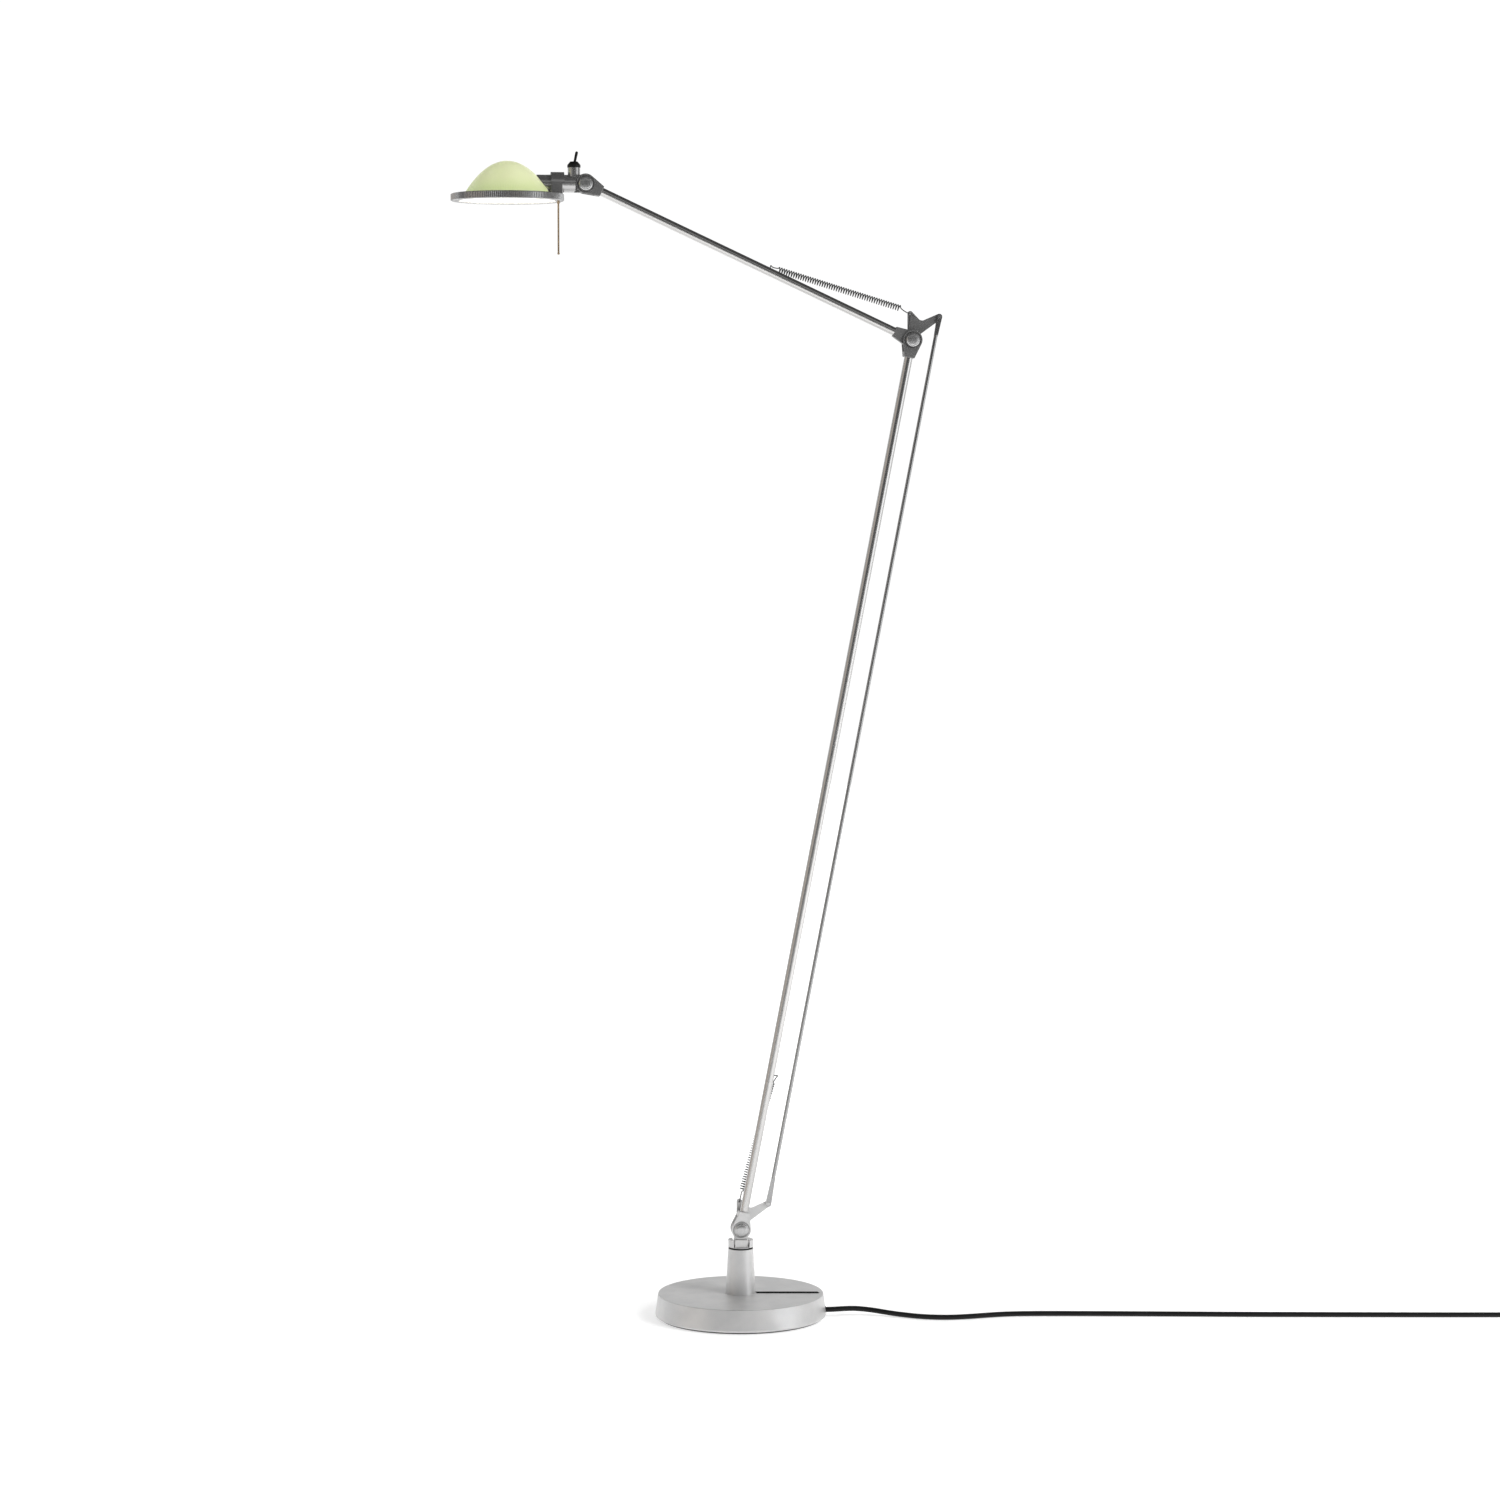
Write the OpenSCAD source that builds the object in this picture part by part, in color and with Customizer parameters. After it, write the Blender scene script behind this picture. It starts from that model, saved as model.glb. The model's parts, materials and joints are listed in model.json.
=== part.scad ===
// Adjustable arm floor lamp: round weighted base, swivel post, two tubular arms held by
// parallel linkage plates and extension springs, and a small head with a glass dome.
// Origin: centre of the base on the floor. +Z is up, the arms move in the XZ plane,
// the head reaches towards -X and +Y is the rear side that carries plates and springs.

/* [Base] */
// Diameter of the base at the floor
base_d = 216; // [200:1:260]
// How far the base's side leans in from the floor to the top
base_taper = 3.5; // [2:0.5:6]
// Height of the base
base_h = 30; // [28:1:38]
// Thickness of the base shell's wall
shell_t = 4; // [3:0.5:5]
// Thickness of the base shell's top
cover_t = 8; // [7:0.5:10]
// Thickness of the felt pad under the base
pad_t = 2; // [1.5:0.5:3]
// Height of the iron weight inside the base
weight_h = 15; // [10:1:16]
// Width of the lead groove in the top of the base
groove_w = 7.6; // [7:0.1:9]
// How far the lead stands out of the groove
lead_proud = 1.5; // [0:0.25:2]
// Turn of the groove and the mains cord about the base's axis, in degrees
exit_turn = -6.5; // [-10:0.5:10]

/* [Post and swivel] */
// Height of the conical post
post_h = 57; // [46:1:90]
// Diameter of the post at the base
post_foot_d = 37.8; // [36:0.1:46]
// Diameter of the post at the top
post_top_d = 31.6; // [30:0.1:38]
// Bore of the post that holds the two bushes
post_bore_d = 22; // [20:0.5:24]
// Diameter of the swivel spindle
spindle_d = 14; // [12:0.5:16]
// Height of the swivel collar's neck above the bush
neck_h = 0.9; // [0.5:0.1:3]
// Thickness of the bush's flange between the post and the collar
flange_h = 1.2; // [0.8:0.1:2]
// Height of the two collar lugs
lug_h = 9; // [7:0.5:12]
// Gap between the two collar lugs
lug_slot_w = 19.8; // [18:0.2:22]

/* [Arms] */
// Height of the foot pivot above the top of the post
pivot_rise = 25; // [24:0.5:32]
// Pivot-to-pivot length of the lower arm
lower_arm_len = 1138; // [800:1:1400]
// Lean of the lower arm from upright, in degrees
lower_lean = 10.9; // [5:0.1:16]
// Pivot-to-pivot length of the upper arm
upper_arm_len = 450; // [360:1:600]
// Rise of the upper arm above level, in degrees
upper_rise = 25; // [10:0.5:40]
// Outside diameter of the arm tubes
tube_d = 10.5; // [8.8:0.1:12.6]
// Wall of the arm tubes
tube_wall = 1; // [0.8:0.1:1.4]

/* [Joints] */
// Diameter of the round ears of each fork
ear_d = 24.4; // [22:0.2:29]
// Thickness of each ear
ear_t = 3.4; // [2.5:0.1:4.5]
// Width of a fork or knuckle where it meets its tube
socket_w = 12.8; // [12.7:0.1:15]
// Pivot centre to the end of a fork
fork_reach = 22.4; // [21:0.2:28]
// Pivot centre to the end of the elbow knuckle
knuckle_reach = 24.6; // [23:0.2:30]
// Thickness of the knuckles between the ears
knuckle_t = 10; // [8:0.2:12]
// Diameter of the pivot axles
axle_d = 6; // [5:0.1:7.2]
// Diameter of the domed pivot caps
cap_d = 16.6; // [14:0.1:18]
// Height of the domed pivot caps
cap_h = 4.2; // [3.5:0.1:5]

/* [Linkage] */
// Thickness of the two linkage plates
plate_t = 2; // [1.5:0.1:3]
// Distance of the rod pivot to the side of the arm pivot
rod_horn_x = 36; // [32:0.5:42]
// Distance of the rod pivot above the arm pivot
rod_horn_z = 29.4; // [26:0.5:34]
// Distance of the spring hole above the arm pivot
spring_horn_z = 33; // [30:0.5:36]
// Diameter of the parallel rod
rod_d = 4.8; // [4:0.1:5.8]
// Thickness of the flattened rod ends
rod_tab_t = 2; // [1.6:0.1:2.2]
// Diameter of the rod rivets
rivet_d = 3; // [2.5:0.1:3.6]

/* [Springs] */
// Outside diameter of the springs
spring_d = 8; // [7:0.1:8.4]
// Diameter of the spring wire
wire_d = 1.2; // [1:0.05:1.4]
// Number of coils that show on each spring
spring_turns = 54; // [40:1:70]
// Arm pivot to the hole that anchors each spring
anchor_z = 199; // [180:1:230]
// Length of the hook at the plate end
hook_near = 15; // [12:0.5:20]
// Length of the hook at the tube end
hook_far = 12; // [9:0.5:16]

/* [Head] */
// Arm pivot to the edge of the rim
head_gap = 26.3; // [24:0.1:34]
// Diameter of the head tube
head_tube_d = 21.8; // [20:0.1:22.4]
// Wall of the head tube
head_tube_wall = 1.6; // [1.2:0.1:2]
// Outside diameter of the fluted rim
rim_d = 139.4; // [130:0.2:146]
// Height of the rim
rim_h = 9; // [8:0.2:12]
// Number of flutes round the rim
rim_flutes = 180; // [120:4:200]
// Width of the rim's lip around the light opening
lip_w = 9.9; // [9:0.1:12]
// Height of the glass dome above the rim
dome_h = 40.4; // [36:0.2:48]
// Edge of the rim to the foot of the dome
dome_gap = 16.8; // [16:0.1:20]
// Wall of the glass dome
dome_wall = 2.4; // [2:0.1:3.2]
// Thickness of the diffuser glass
diffuser_t = 3; // [2:0.5:3.5]
// Length of the turning handle under the rim
handle_len = 63.5; // [50:0.5:90]
// Diameter of the turning handle
handle_d = 2.3; // [2:0.1:3]

/* [Switch] */
// Diameter of the switch boss on the head tube
boss_d = 15.3; // [14.6:0.1:15.6]
// Head tube axis to the top of the boss
boss_h = 19.7; // [18:0.1:24]
// Lean of the toggle lever from upright, in degrees
lever_lean = 12; // [8:1:15]
// Length of the toggle lever above its pivot
lever_len = 18; // [15:0.5:22]

/* [Cord] */
// Diameter of the mains cord
cord_d = 6.5; // [6:0.1:7]
// Height of the cord exit above the floor
exit_z = 8.5; // [8:0.1:12]
// Number of sides of the cord's tube
cord_sides = 10; // [8:1:12]

/* [Hidden] */
$fn = 64;

// Fits
run_fit = 0.05;         // radial play of a pin that turns in its bore
seat_fit = 0.05;        // radial play of pieces fixed into one another
face_gap = 0.3;         // play between faces that slide past one another
loop_play = 0.35;       // radial play at the rod's upper rivet, where the linkage loop is open
lead_play = 0.3;        // radial play of the leads in their holes
cut = 1;                // how far a cutting shape stands out of what it cuts

// Heights of the fixed parts
post_top_z = base_h + post_h;
collar_z = post_top_z + flange_h + face_gap;
pivot_z = post_top_z + pivot_rise;

// Directions of the arms and places of the pivots
lower_tilt = lower_lean;
upper_tilt = upper_rise - 90;
foot_p = [0, 0, pivot_z];
elbow_p = foot_p + lower_arm_len * [sin(lower_tilt), 0, cos(lower_tilt)];
head_p = elbow_p + upper_arm_len * [sin(upper_tilt), 0, cos(upper_tilt)];

// Layers of a joint, counted from the arm plane towards the rear
knuckle_y = knuckle_t / 2;
ear_y0 = knuckle_y + face_gap;
ear_y1 = ear_y0 + ear_t;
plate_y0 = ear_y1 + face_gap;
plate_y1 = plate_y0 + plate_t;
plate_mid = (plate_y0 + plate_y1) / 2;
tab_y1 = plate_y0 - face_gap;
tab_y0 = tab_y1 - rod_tab_t;
rod_y = (tab_y0 + tab_y1) / 2;
ear_r = ear_d / 2;
knuckle_r = ear_r - 1.2;
hub_r = ear_r - 1.2;
crown_z = knuckle_r + 5;        // pivot centre to the bridge between a fork's ears
spring_horn_x = -0.8;
spring_tip_r = 3.3;
rod_tip_r = 3.7;
axle_bore_r = axle_d / 2 + run_fit;
axle_seat_r = axle_d / 2 + seat_fit;
nut_r = 6.4;
nut_h = 4.5;
axle_tail = nut_h + 0.5;        // rear plate's face to the end of its axle

// Screws: a diameter and a place for each kind
base_bolt_d = 4.2;
post_bolt_d = 4;
collar_bolt_d = 3;
collar_bolt_y = 7;
plate_bolt_d = 2.5;
plate_bolt_x = 3;
rim_bolt_d = 2.4;

tube_r = tube_d / 2;
tube_bore_r = tube_r - tube_wall;
spigot_r = tube_bore_r - seat_fit;
spigot_len = 26;
lead_r = 2.2;
lead_bore_r = lead_r + lead_play;
stem_bore_r = lead_r + 1.8;
spring_gap = 0.75;      // least gap between a spring and the tube it passes
spring_y = max(plate_mid, tube_r + spring_gap + spring_d / 2);

// Base
cord_r = cord_d / 2;
base_top_d = base_d - 2 * base_taper;
pad_inset = 5;
bottom_plate_t = 2;
weight_z0 = pad_t + bottom_plate_t;
shell_in_r = base_top_d / 2 - shell_t;
shell_top_in = base_h - cover_t;
weight_r = shell_in_r - 1.5;
lead_z = base_h - cord_r + lead_proud;
lead_end_x = shell_in_r - 0.5 - groove_w / 2;
gland_r = cord_r + 1.2;
gland_x0 = shell_in_r - 17;
block_l = 22;
block_x0 = gland_x0 - 6.5 - block_l;
cavity_x0 = block_x0 - 3;
cavity_w = 34;
base_bolt_r = shell_in_r - 20.5;
post_bolt_r = (post_foot_d + post_bore_d) / 4;
wire_way_r = 8.5;       // hole under the post that takes the lead into it
clip_z = base_h + 9.5;
clip_t = 1;
clip_groove_d = spindle_d - 1.6;

// Stem: the block between the swivel collar and the foot pivot
stem_w = 16;
stem_front = ear_y1;
stem_base_z = collar_z + neck_h;
stem_shoulder_z = pivot_z - ear_r - 1;
plate_bolt_z = stem_shoulder_z - 4;

// Head, with distances taken from the head pivot along the head tube
body_x0 = ear_r + 0.5;
body_x1 = ear_r + 13.3;
head_tube_r = head_tube_d / 2;
head_bore_r = head_tube_r - head_tube_wall;
rim_r = rim_d / 2;
head_reach = rim_r + head_gap;
bracket_len = 16.4;
bracket_r = head_tube_r + 3.4;
bracket_hole_x = rim_r - bracket_len / 2;
bracket_hole_y = head_tube_r + 1.7;
head_tube_x1 = head_gap + bracket_len + 17.3;
rim_top_z = -head_tube_r - 2.1;
rim_bot_z = rim_top_z - rim_h;
flange_t = 2;
lip_t = 1.6;
opening_r = rim_r - lip_w;
dome_foot_r = rim_r - dome_gap;
flange_r = dome_foot_r - dome_wall - 0.5;
handle_r = rim_r - 6.9;
pin_gap = 3.2;          // half the distance between the bulb's two pins
switch_x = ear_r + 1.7;
switch_bore_d = 9.4;
lever_z = boss_h + 2.3;
lever_ball_r = 2.8;

// Route of the cord from the gland to the coil: along the exit, to its left, above the floor
cord_route = [
    [84, 0, 8.5], [96, 0, 8.5], [108, 0, 8.5], [120, 0.5, 8.8], [132, 3, 9],
    [144, 5.5, 8.6], [156, 6.5, 7.6], [168, 5, 6.4],
    [180, 2, 5.1], [192, -2, 4], [206, -8, 3.5], [222, -15, 3.3], [238, -20, 3.3],
    [254, -22, 3.3], [270, -21, 3.3], [286, -17.5, 3.3], [302, -12.5, 3.3], [318, -7.5, 3.3],
    [334, -3.5, 3.3], [352, -1, 3.3], [380, 0, 3.3], [420, 0, 3.3], [480, -1, 3.3],
    [560, -3, 3.3], [640, -5, 3.3], [720, -6, 3.3], [800, -7, 3.3], [880, -8, 3.4],
    [950, -8, 3.4], [1000, -8, 3.4], [1028, -8, 3.4]];
// Centre of the coil, its radii and its lower face
coil_c = [1028, 36];
coil_mid_r = 37.5;
coil_rows = 3;
coil_layers = 2;
// Route of the tail from the coil's outer turn down to the plug beside it
tail_route = [
    [1072, 30, 9.8], [1072, 36, 9.8], [1072, 42, 9.4], [1072, 48, 8.5], [1072, 54, 7.4],
    [1072, 59, 6.7], [1072, 64, 6.5]];
plug_turn = 90;
plug_len = 34;
plug_w = 26;
plug_t = 13;
boot_len = 20;
pin_len = 18;
pin_y = 9.3;

// Radius of the dome as a share of its foot's, at a share t of its height under the top
function dome_share(t) = sqrt(1.065 * t - 0.065 * t * t);

// Point of a round end of radius r where a line from the corner p touches it
function touch(p, r) =
    let (d = norm(p), g = atan2(p.y, p.x) - acos(r / d)) r * [cos(g), sin(g)];

// A point given beside a pivot, in the arm's own frame: x across, z along
function to_arm(p, a) = [p.x * cos(a) - p.z * sin(a), p.y, p.x * sin(a) + p.z * cos(a)];

function unit(v) = v / norm(v);

// Points along an arc about c from angle a0 to a1
function arc_points(c, r, a0, a1) =
    let (n = max(3, ceil(abs(a1 - a0) / 12)))
    [for (i = [0 : n]) let (a = a0 + (a1 - a0) * i / n) c + r * [cos(a), sin(a)]];

// Angle about c where a line from p touches its circle: side 1 on the line's right, -1 left
function tangent_turn(p, c, r, side) =
    let (d = c - p) atan2(d.y, d.x) - side * (90 + asin(r / norm(d)));

// Direction of a route at its point i
function heading(pts, i) =
    unit(pts[min(i + 1, len(pts) - 1)] - pts[max(i - 1, 0)]);

// Smooth route through hand-placed points: n extra steps between each two
function smooth_route(pts, n) = [
    for (i = [0 : len(pts) - 2], k = [0 : n - 1])
        let (t = k / n, a = pts[max(i - 1, 0)], b = pts[i], c = pts[i + 1],
             d = pts[min(i + 2, len(pts) - 1)])
        (2 * b + (c - a) * t + (2 * a - 5 * b + 4 * c - d) * t * t
            + (3 * b - a - 3 * c + d) * t * t * t) / 2,
    pts[len(pts) - 1]];

module along_y(y0, y1) {
    translate([0, y1, 0]) rotate([90, 0, 0]) linear_extrude(y1 - y0) children();
}

module y_rod(r, y0, y1) {
    along_y(y0, y1) circle(r);
}

module x_rod(r, x0, x1) {
    translate([x0, 0, 0]) rotate([0, 90, 0]) cylinder(r = r, h = x1 - x0);
}

module on_lower() {
    translate(foot_p) rotate([0, lower_tilt, 0]) children();
}

module on_upper() {
    translate(elbow_p) rotate([0, upper_tilt, 0]) children();
}

// The head hangs on its pivot, with the tube along -X
module on_head() {
    translate(head_p) children();
}

module at_head_centre() {
    translate(head_p - [head_reach, 0, 0]) children();
}

module around(n, r, a0 = 0) {
    for (i = [0 : n - 1]) rotate([0, 0, a0 + i * 360 / n]) translate([r, 0, 0]) children();
}

// Round eye of radius r that tapers to a flat end of width w at a distance reach
module eye_outline(r, w, reach) {
    t = touch([w / 2, reach], r);
    circle(r);
    polygon([[0, 0], t, [w / 2, reach], [-w / 2, reach], [-t.x, t.y]]);
}

// Fork with two ears, a bridge and a hollow spigot for its tube
module fork() {
    difference() {
        union() {
            for (side = [[-ear_y1, -ear_y0], [ear_y0, ear_y1]])
                along_y(side[0], side[1]) eye_outline(ear_r, socket_w, fork_reach);
            along_y(-ear_y1, ear_y1) intersection() {
                eye_outline(ear_r, socket_w, fork_reach);
                translate([-ear_r, crown_z]) square([ear_d, fork_reach - crown_z]);
            }
            translate([0, 0, crown_z + 1])
                cylinder(r = spigot_r, h = fork_reach + spigot_len - crown_z - 1);
        }
        y_rod(axle_seat_r, -ear_y1 - cut, ear_y1 + cut);
        translate([0, 0, crown_z - cut])
            cylinder(r = lead_bore_r, h = fork_reach + spigot_len);
        // shallow ring groove round the cap
        difference() {
            y_rod(cap_d / 2 + 1.9, -ear_y1 - cut, -ear_y1 + 0.5);
            y_rod(cap_d / 2 + 1.1, -ear_y1 - 2 * cut, -ear_y1 + cut);
        }
    }
}

module knuckle(reach) {
    difference() {
        union() {
            along_y(-knuckle_y, knuckle_y) eye_outline(knuckle_r, socket_w, reach);
            translate([0, 0, crown_z])
                cylinder(r = spigot_r, h = reach + spigot_len - crown_z);
        }
        y_rod(axle_bore_r, -ear_y1, ear_y1);
        translate([0, 0, crown_z - 2])
            cylinder(r = lead_bore_r, h = reach + spigot_len);
    }
}

module arm_tube(z0, z1) {
    difference() {
        translate([0, 0, z0]) cylinder(r = tube_r, h = z1 - z0);
        translate([0, 0, z0 - cut]) cylinder(r = tube_bore_r, h = z1 - z0 + 2 * cut);
        // hole that takes the spring's hook
        translate([0, 0, anchor_z]) x_rod(wire_d, 0, tube_r + cut);
    }
}

module arm_lead(z0, z1) {
    translate([0, 0, z0]) cylinder(r = lead_r, h = z1 - z0);
}

module axle(rear_y) {
    y_rod(axle_d / 2, -ear_y1 - cap_h / 2, rear_y);
}

// Domed cap with a bright edge ring, on the front ear
module cap() {
    r = cap_d / 2;
    lip = 1.1;
    translate([0, -ear_y1, 0]) rotate([90, 0, 0]) difference() {
        rotate_extrude() polygon(concat(
            [[0, 0], [r - 0.4, 0], [r, 0.5], [r, cap_h - 1.6], [r - lip, cap_h - 0.8]],
            [for (a = [75 : -15 : 0]) [(r - lip - 0.5) * sin(a), cap_h - 1 + cos(a)]]));
        translate([0, 0, -cut]) cylinder(r = axle_seat_r, h = cap_h / 2 + cut + seat_fit);
    }
}

module nut(y0) {
    difference() {
        along_y(y0, y0 + nut_h) circle(r = nut_r, $fn = 6);
        y_rod(axle_seat_r, y0 - cut, y0 + nut_h + cut);
    }
}

// Bell-crank plate: round hub, upright spring horn, rounded notch and slanting rod horn
module crank_outline() {
    spring_tip = [spring_horn_x, spring_horn_z];
    rod_tip = [rod_horn_x, rod_horn_z];
    left = spring_tip.x - spring_tip_r;
    notch = [0.4 * rod_horn_x, spring_horn_z - 8.4];
    root = hub_r * [cos(30), sin(30)];
    polygon(concat(
        arc_points([0, 0], hub_r, acos(left / hub_r), 390),
        arc_points(rod_tip, rod_tip_r, tangent_turn(root, rod_tip, rod_tip_r, 1),
            tangent_turn(notch + [4, 1.2], rod_tip, rod_tip_r, -1)),
        arc_points(notch + [0, 6], 6, -60, -130),
        arc_points(spring_tip, spring_tip_r,
            tangent_turn(notch + [-3.9, 2.2], spring_tip, spring_tip_r, 1), 180)));
}

module crank_plate(rivet_play) {
    difference() {
        along_y(plate_y0, plate_y1) crank_outline();
        y_rod(axle_bore_r, plate_y0 - cut, plate_y1 + cut);
        translate([spring_horn_x, 0, spring_horn_z])
            y_rod(wire_d, plate_y0 - cut, plate_y1 + cut);
        translate([rod_horn_x, 0, rod_horn_z])
            y_rod(rivet_d / 2 + rivet_play, plate_y0 - cut, plate_y1 + cut);
    }
}

// Wire bent through a list of points
module bent_wire(pts) {
    for (i = [0 : len(pts) - 2]) {
        d = pts[i + 1] - pts[i];
        translate(pts[i]) rotate([0, acos(d.z / norm(d)), atan2(d.y, d.x)])
            cylinder(d = wire_d, h = norm(d), $fn = 24);
        translate(pts[i]) sphere(d = wire_d + 0.06, $fn = 24);
    }
}

// Wound body of a spring from point a to point b, with a rib for each coil
module coil_body(a, b) {
    d = b - a;
    pitch = norm(d) / spring_turns;
    translate(a) rotate([0, acos(d.z / norm(d)), atan2(d.y, d.x)]) rotate_extrude()
        polygon(concat(
            [[spring_d / 2 - wire_d, 0]],
            [for (i = [0 : spring_turns - 1], s = [[0, 0.55], [0.3, 0], [0.7, 0], [1, 0.55]])
                [spring_d / 2 - s[1], (i + s[0] * 0.98 + 0.01) * pitch]],
            [[spring_d / 2 - wire_d, norm(d)]]));
}

// Spring between a plate's horn and its tube: lift is how far the coils stand off the
// straight line at each end, out how far the far hook reaches beside the tube
module arm_spring(tilt, lift, out) {
    horn = to_arm([spring_horn_x, plate_mid, spring_horn_z], tilt);
    hole = [tube_r, 0, anchor_z];
    line = unit([hole.x - horn.x, 0, hole.z - horn.z]);
    coil_a = horn + hook_near * line + [lift[0], spring_y - plate_mid, 0];
    coil_b = [hole.x - hook_far * line.x + lift[1], spring_y, hole.z - hook_far * line.z];
    coil_body(coil_a, coil_b);
    // the wire leaves the coils just inside their outer face
    top = [spring_d / 2 - wire_d / 2 - 0.17, 0, 0];
    front = horn - [0, plate_t / 2 + wire_d * 0.9, 0];
    bent_wire([coil_a + top + [0, 0, 0.5], coil_a + top - [0, 0, 2],
        front + 3.6 * unit(coil_a + top - horn), front, front + [0, plate_t + 1.8 * wire_d, 0]]);
    bent_wire([coil_b + top - [0, 0, 0.5], coil_b + top + [0, 0, 3],
        [tube_r + out, spring_y * 0.6, anchor_z - 3.5], [tube_r + out, 1.5, anchor_z],
        [tube_r + out - 2.5, 0, anchor_z], [tube_bore_r, 0, anchor_z]]);
}

module foot_pad() color([0.16, 0.16, 0.17]) {
    cylinder(d = base_d - 2 * pad_inset, h = pad_t);
}

module bottom_plate() color([0.5, 0.5, 0.52]) {
    difference() {
        translate([0, 0, pad_t]) cylinder(r = shell_in_r - 0.5, h = bottom_plate_t);
        around(3, base_bolt_r, 60) translate([0, 0, pad_t - cut])
            cylinder(d = base_bolt_d + 2 * seat_fit, h = bottom_plate_t + 2 * cut);
    }
}

module bottom_screws() color([0.3, 0.3, 0.32]) {
    around(3, base_bolt_r, 60) translate([0, 0, pad_t])
        cylinder(d = base_bolt_d, h = bottom_plate_t + 10);
}

module base_weight() color([0.25, 0.25, 0.26]) {
    difference() {
        translate([0, 0, weight_z0]) cylinder(r = weight_r, h = weight_h);
        around(3, base_bolt_r, 60) translate([0, 0, weight_z0 - cut])
            cylinder(d = base_bolt_d + 2 * seat_fit, h = 11 + cut);
        rotate([0, 0, exit_turn]) translate([cavity_x0, -cavity_w / 2, weight_z0 - cut])
            cube([weight_r, cavity_w, weight_h + 2 * cut]);
    }
}

module base_shell() color([0.7, 0.7, 0.7]) {
    edge = 0.9;
    r0 = base_d / 2;
    r1 = base_top_d / 2;
    difference() {
        rotate_extrude() polygon(concat(
            [[0, shell_top_in], [shell_in_r, shell_top_in], [shell_in_r, pad_t], [r0 - 2, pad_t],
             [r0 - 0.6, pad_t + 0.8], [r0, pad_t + 2.4]],
            [for (a = [0 : 15 : 90]) [r1 - edge + edge * cos(a), base_h - edge + edge * sin(a)]],
            [[0, base_h]]));
        rotate([0, 0, exit_turn]) {
            // groove with a round bottom, then the hole that takes the lead inside
            translate([0, 0, lead_z]) x_rod(groove_w / 2, 0, lead_end_x);
            translate([0, -groove_w / 2, lead_z]) cube([lead_end_x, groove_w, base_h]);
            translate([lead_end_x, 0, shell_top_in - cut])
                cylinder(d = groove_w, h = cover_t + 2 * cut);
            translate([0, 0, exit_z]) x_rod(gland_r + seat_fit, shell_in_r / 2, base_d);
        }
        around(3, post_bolt_r, 60) translate([0, 0, shell_top_in - cut])
            cylinder(d = post_bolt_d + 2 * seat_fit, h = cover_t + 2 * cut);
        translate([0, 0, shell_top_in - cut]) cylinder(r = wire_way_r, h = cover_t + 2 * cut);
    }
}

module post() color([0.72, 0.72, 0.72]) {
    difference() {
        translate([0, 0, base_h])
            cylinder(d1 = post_foot_d, d2 = post_top_d, h = post_h);
        translate([0, 0, base_h - cut]) cylinder(d = post_bore_d, h = post_h + 2 * cut);
        around(3, post_bolt_r, 60) translate([0, 0, base_h - cut])
            cylinder(d = post_bolt_d + 2 * seat_fit, h = 10 + cut);
        // mouth for the lead
        rotate([0, 0, exit_turn]) translate([0, 0, lead_z])
            x_rod(cord_r + lead_play, 0, post_foot_d);
    }
}

module post_ring() color([0.78, 0.78, 0.78]) {
    difference() {
        translate([0, 0, base_h]) cylinder(d = post_foot_d + 2.4, h = 0.9);
        translate([0, 0, base_h - cut]) cylinder(d = post_foot_d + 2 * seat_fit, h = 3);
        rotate([0, 0, exit_turn]) translate([0, -cord_r - lead_play, base_h - cut])
            cube([post_foot_d, cord_d + 2 * lead_play, 3]);
    }
}

module post_screws() color([0.3, 0.3, 0.32]) {
    around(3, post_bolt_r, 60) {
        translate([0, 0, shell_top_in]) cylinder(d = post_bolt_d, h = cover_t + 9.5);
        translate([0, 0, shell_top_in - 2.5]) cylinder(d = 7, h = 2.5);
    }
}

module bush(z0, h) {
    difference() {
        translate([0, 0, z0]) cylinder(d = post_bore_d - 2 * seat_fit, h = h);
        translate([0, 0, z0 - cut]) cylinder(d = spindle_d + 2 * run_fit, h = h + 2 * cut);
    }
}

// Bush in the top of the post, with a flange that the swivel collar runs on
module upper_bush() color([0.05, 0.05, 0.05]) {
    len = 13;
    bush(post_top_z - len, len + flange_h);
    difference() {
        translate([0, 0, post_top_z]) cylinder(d = post_top_d - 1, h = flange_h);
        translate([0, 0, post_top_z - cut]) cylinder(d = spindle_d + 4, h = flange_h + 2 * cut);
    }
}

module lower_bush() color([0.05, 0.05, 0.05]) {
    bush(base_h + 11, 10);
}

module base_lead() color([0.05, 0.05, 0.05]) rotate([0, 0, exit_turn]) {
    post_x = 5;
    low_z = exit_z + gland_r + 1;
    translate([0, 0, lead_z]) x_rod(cord_r, post_x, lead_end_x);
    translate([lead_end_x, 0, low_z]) cylinder(r = cord_r, h = lead_z - low_z);
    translate([lead_end_x, 0, lead_z]) sphere(r = cord_r + 0.02);
    translate([post_x, 0, lead_z]) sphere(r = cord_r + 0.02);
    translate([post_x, 0, lead_z]) cylinder(r = lead_r, h = 10);
}

module terminal_block() color([0.85, 0.85, 0.8]) rotate([0, 0, exit_turn]) {
    difference() {
        translate([block_x0, -12, weight_z0 + 0.3]) cube([block_l, 24, 9]);
        for (y = [-7, 0, 7]) translate([0, y, weight_z0 + 6])
            x_rod(1.4, block_x0 - cut, block_x0 + block_l + cut);
    }
}

module cord_gland() color([0.06, 0.06, 0.06]) rotate([0, 0, exit_turn]) {
    cone_len = 12;
    translate([0, 0, exit_z]) difference() {
        union() {
            x_rod(gland_r, gland_x0 + cone_len, base_d / 2 - 0.7);
            translate([gland_x0, 0, 0]) rotate([0, 90, 0])
                cylinder(r1 = cord_r + 0.6, r2 = gland_r, h = cone_len);
        }
        x_rod(cord_r + seat_fit, 0, base_d);
    }
}

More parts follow.
